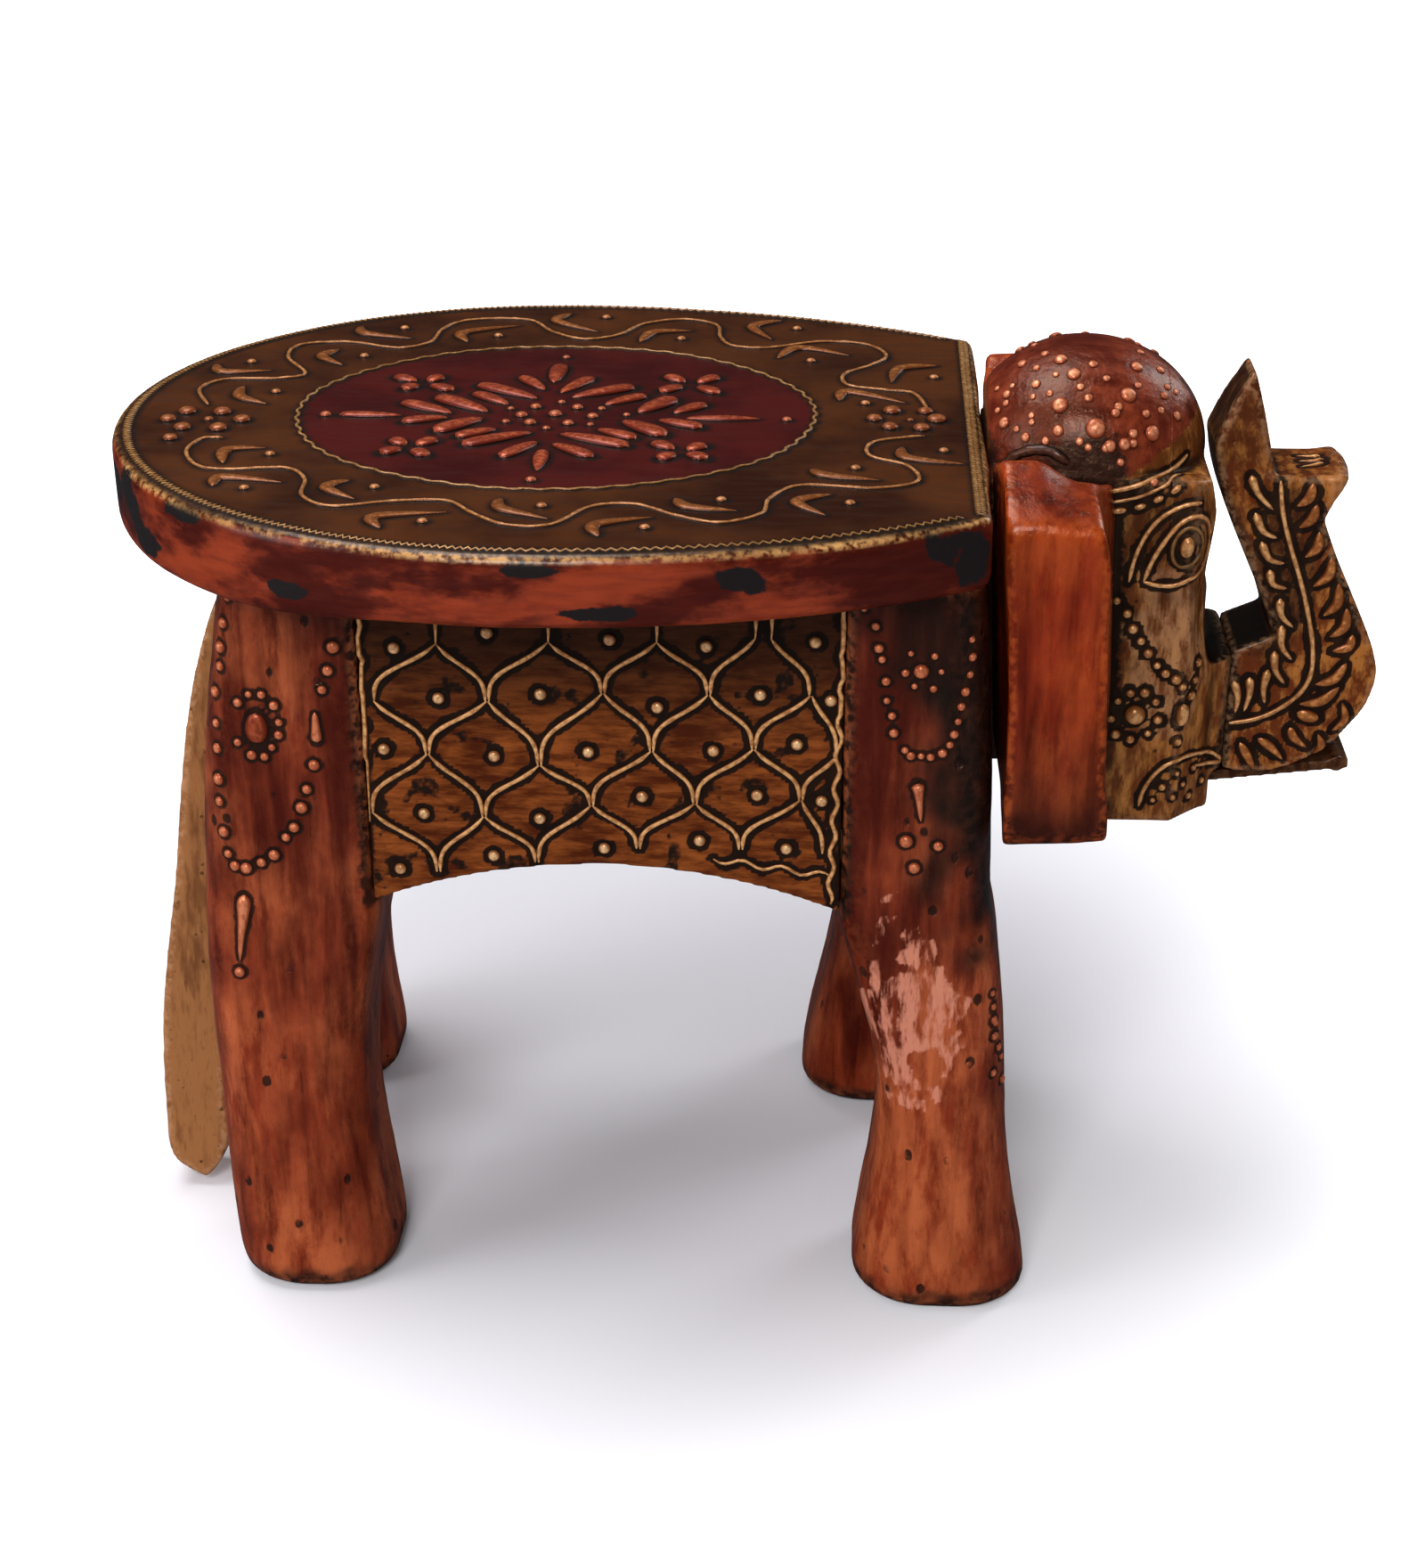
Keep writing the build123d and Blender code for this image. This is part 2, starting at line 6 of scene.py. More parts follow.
import bmesh
import bpy
import numpy as np
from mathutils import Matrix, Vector, noise
from mathutils.bvhtree import BVHTree
from mathutils.kdtree import KDTree
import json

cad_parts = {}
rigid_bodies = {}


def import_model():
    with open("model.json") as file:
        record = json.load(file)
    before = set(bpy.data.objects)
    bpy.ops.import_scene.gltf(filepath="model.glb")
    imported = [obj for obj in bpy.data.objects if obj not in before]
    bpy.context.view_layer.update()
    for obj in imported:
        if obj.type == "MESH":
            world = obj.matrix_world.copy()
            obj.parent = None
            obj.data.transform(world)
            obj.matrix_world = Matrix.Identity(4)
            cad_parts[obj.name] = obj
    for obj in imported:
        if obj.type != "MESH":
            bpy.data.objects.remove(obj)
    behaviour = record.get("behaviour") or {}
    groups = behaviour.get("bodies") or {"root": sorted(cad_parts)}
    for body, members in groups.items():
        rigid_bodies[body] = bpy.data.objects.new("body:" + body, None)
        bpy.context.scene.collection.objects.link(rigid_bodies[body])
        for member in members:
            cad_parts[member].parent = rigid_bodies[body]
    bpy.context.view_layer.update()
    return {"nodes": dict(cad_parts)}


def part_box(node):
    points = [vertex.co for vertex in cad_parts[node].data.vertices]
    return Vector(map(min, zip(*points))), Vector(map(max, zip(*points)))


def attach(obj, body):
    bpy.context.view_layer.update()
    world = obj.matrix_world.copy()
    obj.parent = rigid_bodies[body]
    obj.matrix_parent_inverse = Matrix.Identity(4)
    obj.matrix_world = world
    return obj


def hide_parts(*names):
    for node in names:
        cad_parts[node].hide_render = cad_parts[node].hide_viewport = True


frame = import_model()

# Shapes are given in millimetres from the seat's widest line, the middle and the seat's top.
# Relief on legs, panels, face and trunk is drawn on the right side and mirrored to the left.
MM = 0.001
SIDES = {"right": -1, "left": 1}
SEAT_REAR = 97.5            # widest line to the rear of the plank
SEAT_HALF = 87.0            # half the seat's width
FRONT_AXIS = 135.7          # half length of the ellipse that the straight front cuts
BRAID_X = 94.6              # the braid along the cut front
MEDALLION_X, MEDALLION_LONG, MEDALLION_WIDE = 1.5, 58, 49
LEG_DEPTH, FACE_DEPTH, TRUNK_DEPTH, EAR_DEPTH = -58, -26, -12, -37    # where relief is drawn, across
FACE_SEAM = 137.0           # where the head and the face block meet
SEAT_LOW, SEAT_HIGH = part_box("seat_plank")
WIDEST_X = SEAT_LOW[0] + SEAT_REAR * MM
SEAT_TOP = SEAT_HIGH[2]
EYE = Vector((22.5 * MM, -544.56 * MM, 384.86 * MM))
STRAY = 25 * MM             # a line of sight that lands further off has met another part


def at(x, y, z):
    """A point from the seat's widest line, the middle and the seat's top, given in millimetres."""
    return Vector((WIDEST_X + x * MM, y * MM, SEAT_TOP + z * MM))


ORIGIN = np.array(at(0, 0, 0))


# --- bodies: each CAD piece copied, closed, remeshed and worked over ---------------------------
class Body:
    """A carved piece: its mesh as arrays, its surface for laying relief on, and its painted values."""

    def __init__(self, mesh):
        self.mesh = mesh
        self.refresh()

    @staticmethod
    def read(items, key, width=3, kind=float):
        values = np.empty(len(items) * width, kind)
        items.foreach_get(key, values)
        return values.reshape(-1, width)

    def refresh(self):
        self.co = self.read(self.mesh.vertices, "co")
        self.no = self.read(self.mesh.vertices, "normal")
        self.edges = self.read(self.mesh.edges, "vertices", 2, int)
        polygons = [tuple(p.vertices) for p in self.mesh.polygons]
        self.surface = BVHTree.FromPolygons([tuple(c) for c in self.co], polygons)

    def move(self, co):
        self.mesh.vertices.foreach_set("co", np.ascontiguousarray(co).ravel())
        self.mesh.update()
        self.refresh()

    def swell(self, lift):
        """Every vertex moved outwards by its own number of millimetres."""
        self.move(self.co + self.no * (lift * MM)[:, None])

    def local(self):
        """Vertices from the seat's widest line, the middle and the seat's top, in millimetres."""
        return (self.co - ORIGIN) / MM

    def place(self, local):
        self.move(local * MM + ORIGIN)

    def wave(self, size, seed, octaves=2):
        """Smooth noise from -1 to 1 at each vertex; size in millimetres."""
        offset = Vector((seed * 3.7, seed * 1.9, seed * 5.3))
        scale = 1 / (size * MM)
        return np.array([noise.fractal(Vector(c) * scale + offset, 1.0, 2.0, octaves) for c in self.co])

    def paint(self, name, values):
        if name in self.mesh.attributes:
            self.mesh.attributes.remove(self.mesh.attributes[name])
        layer = self.mesh.attributes.new(name, "FLOAT", "POINT")
        layer.data.foreach_set("value", np.ascontiguousarray(values, dtype=np.float32))


def evaluated_mesh(obj, name):
    graph = bpy.context.evaluated_depsgraph_get()
    graph.update()
    mesh = bpy.data.meshes.new_from_object(obj.evaluated_get(graph))
    mesh.name = name
    return mesh


def show(name, data):
    obj = bpy.data.objects.new(name, data)
    bpy.context.scene.collection.objects.link(obj)
    return obj


def remove(obj):
    bpy.data.objects.remove(obj, do_unlink=True)


def solid_copy(nodes):
    """One closed mesh from CAD nodes, their doubles merged."""
    work = bmesh.new()
    for node in nodes:
        work.from_mesh(frame["nodes"][node].data)
    bmesh.ops.remove_doubles(work, verts=work.verts, dist=1e-6)
    return finished_mesh(work, "work")


def finished_mesh(work, name):
    mesh = bpy.data.meshes.new(name)
    work.to_mesh(mesh)
    work.free()
    return mesh


def remeshed(name, mesh, voxel):
    obj = show(name + "_work", mesh)
    tool = obj.modifiers.new("remesh", "REMESH")
    tool.mode = "VOXEL"
    tool.voxel_size = voxel * MM
    tool.use_smooth_shade = True
    out = evaluated_mesh(obj, name)
    remove(obj)
    return out


def neighbours(edges, count):
    """Both ends of each edge, what lies across it, and how many edges meet at each vertex."""
    ends = np.concatenate([edges[:, 0], edges[:, 1]])
    others = np.concatenate([edges[:, 1], edges[:, 0]])
    return ends, others, np.maximum(np.bincount(ends, minlength=count), 1)


def eased(co, edges, rounds):
    """Vertices pulled towards the middle of their neighbours."""
    count = len(co)
    ends, others, degree = neighbours(edges, count)
    for _ in range(rounds):
        mean = np.stack([np.bincount(ends, co[others, k], count) for k in range(3)], 1) / degree[:, None]
        co = co + (mean - co) * 0.5
    return co


def spread(values, edges, rounds):
    """A painted value softened over its neighbours."""
    count = len(values)
    ends, others, degree = neighbours(edges, count)
    for _ in range(rounds):
        values = 0.4 * values + 0.6 * np.bincount(ends, values[others], count) / degree
    return values


def ramp(values, low, high):
    """0 below low, 1 above high, smooth between."""
    t = np.clip((values - low) / (high - low), 0, 1)
    return t * t * (3 - 2 * t)


def hump(values, middle, reach):
    """1 at the middle, 0 from reach on."""
    return np.clip(1 - ((values - middle) / reach) ** 2, 0, 1)


def most(*values):
    return np.maximum.reduce(values)


def bulge(p, centre, radii, height):
    """A soft swelling: height at the centre, gone at the radii."""
    offset = (p - np.array(centre)) / np.array(radii)
    near = np.clip(1 - (offset ** 2).sum(1), 0, 1)
    return height * near * near


def zone(body, centre, radii, seed, ragged):
    """A ragged patch on a body, 1 at its middle."""
    offset = np.sqrt((((body.local() - np.array(centre)) / np.array(radii)) ** 2).sum(1))
    return 1 - ramp(offset + body.wave(7, seed, 4) * ragged, 0.55, 1.0)


def edge_values(body):
    """How sharply the surface turns outwards, 0 to 1, and inwards, 0 to 1."""
    first, second = body.edges[:, 0], body.edges[:, 1]
    step = body.co[second] - body.co[first]
    length = np.linalg.norm(step, axis=1) + 1e-9
    turn = ((body.no[second] - body.no[first]) * step).sum(1) / length ** 2 * MM
    count = len(body.co)
    total = np.bincount(first, turn, count) + np.bincount(second, turn, count)
    mean = spread(total / neighbours(body.edges, count)[2], body.edges, 3)
    return ramp(mean, 0.03, 0.16), ramp(-mean, 0.03, 0.16)


def carved(name, nodes, voxel, rounds, uneven, seed, sculpt=None):
    """A body from CAD nodes: remeshed, its edges eased, and left a little uneven by hand tools."""
    body = Body(remeshed(name, solid_copy(nodes), voxel))
    if sculpt:
        sculpt(body)
    body.move(eased(body.co, body.edges, rounds))
    swell = body.wave(26, seed) * 0.7 + body.wave(9, seed + 1) * 0.3
    body.swell(swell * uneven)
    return body


# --- laying relief on a surface -----------------------------------------------------------------
def seen(body, x, y, z):
    """Where the line of sight to a point meets the body, or the nearest place on it."""
    goal = at(x, y, z)
    place = body.surface.ray_cast(EYE, (goal - EYE).normalized())[0]
    if place is None or (place - goal).length > STRAY:
        place = body.surface.find_nearest(goal)[0]
    return place


def mirrored(points):
    return [Vector((p.x, -p.y, p.z)) for p in points]


def settled(body, points):
    return [body.surface.find_nearest(p)[0] for p in points]


def flowing(points, steps):
    """A smooth line through points, with steps pieces between two of them."""
    last = len(points) - 1
    out = []
    for i in range(last):
        a, b, c, d = (points[min(max(i + k, 0), last)] for k in (-1, 0, 1, 2))
        for s in range(steps):
            t = s / steps
            out.append(0.5 * (2 * b + (c - a) * t + (2 * a - 5 * b + 4 * c - d) * t * t
                              + (3 * b - a - 3 * c + d) * t ** 3))
    out.append(points[-1].copy())
    return out


class Relief:
    """Piped lines and beads on one body: strokes as (points, widths, closed) and beads as (point, size)."""

    def __init__(self, body, depth=0):
        """depth says where across the stool the points (x, z) of this relief are drawn."""
        self.body = body
        self.depth = depth
        self.strokes = {}
        self.beads = {}

    def spot(self, x, z):
        return seen(self.body, x, self.depth, z)

    def traced(self, points, steps):
        """A smooth line through what is seen at points (x, z)."""
        return flowing([self.spot(x, z) for x, z in points], steps)

    def laid(self, points, steps=5):
        """The same line, brought onto the surface all along."""
        return settled(self.body, self.traced(points, steps))

    def line(self, finish, points, width, closed=False, seed=0):
        """A line of a piping bag: nearly even, pinched at its open ends."""
        count = len(points)
        chance = random.Random(seed + count)
        phase = chance.random() * 6.28
        widths = []
        for i in range(count):
            w = width * (1 + 0.12 * math.sin(i * 1.7 + phase) * chance.uniform(0.4, 1.0))
            if not closed:
                w *= min(1, 0.35 + 0.35 * min(i, count - 1 - i))
            widths.append(w)
        self.strokes.setdefault(finish, []).append((points, widths, closed))

    def leaf(self, finish, points, width, peak=0.5, sharp=0.8):
        """A stroke that swells to its widest at peak and runs out to a point at both ends."""
        widths = []
        for i in range(len(points)):
            t = (i / (len(points) - 1)) ** (math.log(0.5) / math.log(peak))
            widths.append(width * max(0.08, math.sin(math.pi * min(max(t, 0.0), 1.0)) ** sharp))
        self.strokes.setdefault(finish, []).append((points, widths, False))

    def drop(self, finish, points, width, thin=0.28):
        """A stroke that starts as a round head and runs out to a thin tail."""
        widths = []
        for i in range(len(points)):
            t = i / (len(points) - 1)
            head = math.sqrt(max(0.0, 1 - ((t - 0.2) / 0.2) ** 2)) if t < 0.2 else 1
            fall = 1 if t < 0.2 else thin + (1 - thin) * (1 - (t - 0.2) / 0.8) ** 1.4
            widths.append(width * max(0.2, head) * fall * min(1, (1 - t) * 6 + 0.15))
        self.strokes.setdefault(finish, []).append((points, widths, False))

    def bead(self, finish, point, size):
        self.beads.setdefault(finish, []).append((point, size))

    def row(self, finish, size, spots):
        """Beads at points (x, z), their sizes a little uneven."""
        for i, (x, z) in enumerate(spots):
            self.bead(finish, self.spot(x, z), size * (0.85 + 0.3 * ((i * 7) % 5) / 4))

    def marks(self):
        """Every place that relief covers, with its half width."""
        out = []
        for strokes in self.strokes.values():
            for points, widths, _ in strokes:
                out += list(zip(points, widths))
        for beads in self.beads.values():
            out += beads
        return out

    def to_other_side(self, body):
        """The same relief mirrored onto the body of the other side."""
        other = Relief(body)
        for finish, strokes in self.strokes.items():
            other.strokes[finish] = [(settled(body, mirrored(p)), w, c) for p, w, c in strokes]
        for finish, beads in self.beads.items():
            places = settled(body, mirrored([p for p, _ in beads]))
            other.beads[finish] = [(p, s) for p, (_, s) in zip(places, beads)]
        return other


def soot_from(body, marks, reach, shift=(0.0, 0.0, 0.0)):
    """The dark wash that stays beside relief: 1 against it, gone at reach millimetres."""
    tree = KDTree(len(marks))
    for i, (p, _) in enumerate(marks):
        tree.insert(p + Vector(shift) * MM, i)
    tree.balance()
    half = np.array([w for _, w in marks])
    away = np.empty(len(body.co))
    for i, c in enumerate(body.co):
        away[i] = min(dist / MM - half[k] for _, k, dist in tree.find_n(c, 3))
    return 1 - ramp(away, 0.0, reach)


def beside(body, nodes, reach):
    """Darkening where other pieces come close, a painted shade: 1 where they meet, gone at reach millimetres.
    """
    value = np.zeros(len(body.co))
    for node in nodes:
        low, high = (np.array(c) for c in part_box(node))
        near = np.all((body.co > low - reach * MM) & (body.co < high + reach * MM), axis=1)
        work = bmesh.new()
        work.from_mesh(frame["nodes"][node].data)
        other = BVHTree.FromBMesh(work)
        work.free()
        for i in np.nonzero(near)[0]:
            found = other.find_nearest(Vector(body.co[i]), reach * MM)
            if found[0] is not None:
                value[i] = max(value[i], 1 - found[3] / (reach * MM))
    return value ** 1.3


# --- nodes -------------------------------------------------------------------------------------
class Graph:
    """A node tree under construction: inputs by name or identifier, given a value or a link."""

    def __init__(self, tree):
        self.tree = tree

    def put(self, socket, value):
        if isinstance(value, bpy.types.NodeSocket):
            self.tree.links.new(value, socket)
        elif isinstance(value, tuple) and len(value) == 3 and len(socket.default_value) == 4:
            socket.default_value = (*value, 1)
        else:
            socket.default_value = value

    def node(self, kind, settings=None, **inputs):
        made = self.tree.nodes.new(kind)
        for key, value in (settings or {}).items():
            setattr(made, key, value)
        for key, value in inputs.items():
            self.put(self.find(made.inputs, key), value)
        return made

    @staticmethod
    def find(sockets, key):
        label = key.replace("_", " ")
        for socket in sockets:
            if socket.enabled and (socket.name == label or socket.identifier == key):
                return socket
        raise KeyError(f"{key} is not among {[s.name for s in sockets]}")

    def math(self, operation, first, *others):
        for other in others:
            first = self.node("ShaderNodeMath", {"operation": operation}, Value=first,
                              Value_001=other).outputs[0]
        return first

    def between(self, value, low, high, start=0.0, end=1.0):
        made = self.node("ShaderNodeMapRange", {"interpolation_type": "SMOOTHSTEP"}, Value=value,
                         From_Min=low, From_Max=high, To_Min=start, To_Max=end)
        return made.outputs["Result"]


class Tree(Graph):
    """A geometry node tree with named inputs; what it makes is pressed onto a body."""

    def __init__(self, name, inputs):
        super().__init__(bpy.data.node_groups.new(name, "GeometryNodeTree"))
        face = self.tree.interface
        face.new_socket("Geometry", in_out="INPUT", socket_type="NodeSocketGeometry")
        self.ids = {}
        for label, kind, value in inputs:
            socket = face.new_socket(label, in_out="INPUT", socket_type="NodeSocket" + kind)
            if value is not None:
                socket.default_value = value
            self.ids[label] = socket.identifier
        face.new_socket("Geometry", in_out="OUTPUT", socket_type="NodeSocketGeometry")
        self.given = self.node("NodeGroupInput").outputs
        self.end = self.node("NodeGroupOutput")

    def stored(self, geometry, name, value):
        made = self.node("GeometryNodeStoreNamedAttribute", {"data_type": "FLOAT", "domain": "POINT"},
                         Geometry=geometry, Name=name, Value=value)
        return made.outputs["Geometry"]

    def named(self, name):
        made = self.node("GeometryNodeInputNamedAttribute", {"data_type": "FLOAT"}, Name=name)
        return made.outputs["Attribute"]

    def press(self, geometry, girth):
        """Relief flattened towards the body under it; keeps how proud each point stood, 0 to 1."""
        body = self.node("GeometryNodeObjectInfo", {"transform_space": "RELATIVE"}, Object=self.given["Body"])
        place = self.node("GeometryNodeInputPosition").outputs["Position"]
        near = self.node("GeometryNodeProximity", {"target_element": "FACES"},
                         Geometry=body.outputs["Geometry"]).outputs
        flat = self.node("ShaderNodeMix", {"data_type": "VECTOR"}, Factor_Float=self.given["Height"],
                         A_Vector=near["Position"], B_Vector=place)
        goal = [s for s in flat.outputs if s.enabled][0]
        share = self.node("ShaderNodeMath", {"operation": "DIVIDE", "use_clamp": True},
                          Value=near["Distance"], Value_001=self.named(girth))
        kept = self.stored(geometry, "proud", share.outputs["Value"])
        moved = self.node("GeometryNodeSetPosition", Geometry=kept, Position=goal)
        smooth = self.node("GeometryNodeSetShadeSmooth", Geometry=moved.outputs["Geometry"])
        whole = self.node("GeometryNodeRealizeInstances", Geometry=smooth.outputs["Geometry"])
        last = self.node("GeometryNodeSetMaterial", Geometry=whole.outputs["Geometry"],
                         Material=self.given["Finish"])
        self.put(self.end.inputs["Geometry"], last.outputs["Geometry"])


def piping_tree():
    """Lines to half-round piping, as wide as each point's own radius."""
    tree = Tree("piping", [("Body", "Object", None), ("Height", "Float", 0.7), ("Sides", "Int", 8),
                           ("Finish", "Material", None)])
    ring = tree.node("GeometryNodeCurvePrimitiveCircle", Resolution=tree.given["Sides"], Radius=1.0)
    radius = tree.node("GeometryNodeInputRadius").outputs["Radius"]
    tube = tree.node("GeometryNodeCurveToMesh", Curve=tree.stored(tree.given["Geometry"], "girth", radius),
                     Profile_Curve=ring.outputs["Curve"], Fill_Caps=True)
    for scale in [s for s in tube.inputs if s.name == "Scale"]:
        tree.put(scale, radius)
    tree.press(tube.outputs["Mesh"], "girth")
    return tree


def bead_tree():
    """Points to round beads, each as large as its own size."""
    tree = Tree("beads", [("Body", "Object", None), ("Height", "Float", 0.8), ("Segments", "Int", 12),
                          ("Finish", "Material", None)])
    ball = tree.node("GeometryNodeMeshUVSphere", Segments=tree.given["Segments"], Rings=8, Radius=1.0)
    dots = tree.node("GeometryNodeInstanceOnPoints", Points=tree.given["Geometry"],
                     Instance=ball.outputs["Mesh"], Scale=tree.named("size"))
    whole = tree.node("GeometryNodeRealizeInstances", Geometry=dots.outputs["Instances"])
    tree.press(whole.outputs["Geometry"], "size")
    return tree


def grown(name, data, tree, settings):
    """The mesh that a tree makes of data, with its named inputs set."""
    obj = show(name + "_work", data)
    tool = obj.modifiers.new("tree", "NODES")
    tool.node_group = tree.tree
    for label, value in settings.items():
        tool[tree.ids[label]] = value
    mesh = evaluated_mesh(obj, name)
    remove(obj)
    return mesh


def stroke_curves(strokes):
    curve = bpy.data.curves.new("strokes", "CURVE")
    curve.dimensions = "3D"
    for points, widths, closed in strokes:
        spline = curve.splines.new("POLY")
        spline.points.add(len(points) - 1)
        for spot, p, w in zip(spline.points, points, widths):
            spot.co = (p.x, p.y, p.z, 1)
            spot.radius = w * MM
        spline.use_cyclic_u = closed
    return curve


def bead_points(beads):
    mesh = bpy.data.meshes.new("dots")
    mesh.from_pydata([tuple(p) for p, _ in beads], [], [])
    layer = mesh.attributes.new("size", "FLOAT", "POINT")
    layer.data.foreach_set("value", [size * MM for _, size in beads])
    return mesh


# --- finishes ----------------------------------------------------------------------------------
BLACK = (0.008, 0.005, 0.004)
COPPER_GLOSS = (1.0, 0.50, 0.30)
GOLD_GLOSS = (1.0, 0.72, 0.42)
BARE_COPPER = (0.58, 0.21, 0.13)
RUBBED_GOLD = (0.46, 0.235, 0.115)
# the brown of the painted shade up under the seat
UNDER_SEAT_SHADE = (0.022, 0.006, 0.0022)


class Finish(Graph):
    """A painted finish under construction, wired to one Principled shader."""

    def __init__(self, name, rough, metal=0.0, coat=0.0, gloss=0.14, tint=(1, 1, 1)):
        self.material = bpy.data.materials.new(name)
        self.material.use_nodes = True
        super().__init__(self.material.node_tree)
        self.shader = self.tree.nodes["Principled BSDF"].inputs
        for key, value in (("Roughness", rough), ("Metallic", metal), ("Specular IOR Level", gloss),
                           ("Specular Tint", tint), ("Coat Weight", coat), ("Coat Roughness", 0.2)):
            self.put(self.shader[key], value)
        self.space = self.node("ShaderNodeTexCoord").outputs["Object"]

    def times(self, *values):
        return self.math("MULTIPLY", *values)

    def plus(self, *values):
        return self.math("ADD", *values)

    def most(self, *values):
        return self.math("MAXIMUM", *values)

    def painted(self, name):
        return self.node("ShaderNodeAttribute", {"attribute_name": name}).outputs["Fac"]

    def placed(self, size, stretch, seed, turn=(0, 0, 0)):
        made = self.node("ShaderNodeMapping", {"vector_type": "POINT"}, Vector=self.space, Rotation=turn,
                         Scale=[k / (size * MM) for k in stretch],
                         Location=(seed * 7.3, seed * 3.1, seed * 5.7))
        return made.outputs["Vector"]

    def cloud(self, size, stretch=(1, 1, 1), seed=0, detail=4, rough=0.55, warp=0.0, turn=(0, 0, 0)):
        """Noise from 0 to 1; size in millimetres, stretch below 1 draws it out along an axis."""
        made = self.node("ShaderNodeTexNoise", Vector=self.placed(size, stretch, seed, turn), Scale=1.0,
                         Detail=detail, Roughness=rough, Distortion=warp)
        return made.outputs["Fac"]

    def specks(self, size, stretch, seed):
        """Distance to scattered points, for nicks and pinholes."""
        made = self.node("ShaderNodeTexVoronoi", Vector=self.placed(size, stretch, seed), Scale=1.0)
        return made.outputs["Distance"]

    def grime_and_shade(self, seed, darkest):
        """The dark wash round relief, and painted shade where parts meet and under the seat, with a ragged
        edge.
        """
        frayed = self.plus(self.painted("soot"), self.times(self.cloud(1.7, seed=seed, detail=5), 0.7))
        return self.between(frayed, 0.70, 0.98, 0, darkest)

    def mix(self, share, a, b):
        made = self.node("ShaderNodeMix", {"data_type": "RGBA"}, Factor_Float=share, A_Color=a, B_Color=b)
        return made.outputs[2]

    def upwards(self, vector):
        """The part of a vector along Z."""
        return self.node("ShaderNodeSeparateXYZ", Vector=vector).outputs["Z"]

    def done(self, colour, rough=None, bumps=()):
        self.put(self.shader["Base Color"], colour)
        if rough is not None:
            self.put(self.shader["Roughness"], rough)
        last = {}
        for height, depth in bumps:
            made = self.node("ShaderNodeBump", Strength=1.0, Distance=depth * MM, Height=height, **last)
            last = {"Normal": made.outputs["Normal"]}
        self.put(self.shader["Normal"], last["Normal"])
        return self.material


def seat_paint():
    """Olive brown field, maroon medallion, worn gold arris, red lacquer edge with black patches, two of them
    the ear's painted shadow.
    """
    f = Finish("seat_paint", rough=0.45, coat=0.22)
    broad = f.cloud(38, seed=1)
    fine = f.cloud(2.2, (0.25, 1, 1), seed=2, detail=6)
    field = f.mix(f.between(broad, 0.35, 0.65), (0.022, 0.0050, 0.0014), (0.066, 0.0185, 0.0042))
    field = f.mix(f.between(fine, 0.4, 0.75, 0, 0.45), field, (0.030, 0.010, 0.004))
    maroon = f.mix(f.between(broad, 0.4, 0.6), (0.032, 0.0028, 0.0026), (0.056, 0.0052, 0.0040))
    maroon = f.mix(f.between(fine, 0.45, 0.8, 0, 0.4), maroon, (0.035, 0.004, 0.003))
    top = f.mix(f.painted("medallion"), field, maroon)
    top = f.mix(f.times(f.painted("soot"), f.between(f.cloud(3.5, seed=3), 0.2, 0.5, 0.75, 1.0)), top, BLACK)
    patch = f.cloud(17, (0.55, 0.55, 1.3), seed=4, detail=9, rough=0.62)
    grain = f.cloud(1.6, (0.16, 0.16, 1), seed=5, detail=5)
    edge = f.mix(f.between(patch, 0.46, 0.62), (0.045, 0.0034, 0.0012), (0.25, 0.032, 0.0075))
    edge = f.mix(f.between(grain, 0.35, 0.75, 0, 0.5), edge, (0.09, 0.009, 0.003))
    # black patches on the edge; by the front corner they are the ear's painted shadow
    dark = f.between(f.plus(f.painted("patches"), f.cloud(2.6, seed=6, detail=6)), 0.85, 1.05)
    edge = f.mix(dark, edge, (0.012, 0.009, 0.009))
    facing = f.upwards(f.node("ShaderNodeNewGeometry").outputs["Normal"])
    colour = f.mix(f.between(facing, 0.55, 0.8), edge, top)
    worn = f.times(f.painted("rub"), f.between(f.cloud(1.5, seed=7, detail=6), 0.36, 0.62),
                   f.between(f.cloud(26, seed=9, detail=4), 0.36, 0.62, 0.25, 1.0))
    colour = f.mix(worn, colour, (0.56, 0.29, 0.10))
    rough = f.between(fine, 0.3, 0.8, 0.30, 0.46)
    scratch = f.cloud(1.1, (0.12, 0.5, 1), seed=8, detail=3)
    return f.done(colour, rough, [(fine, 0.05), (scratch, 0.03), (patch, 0.15)])


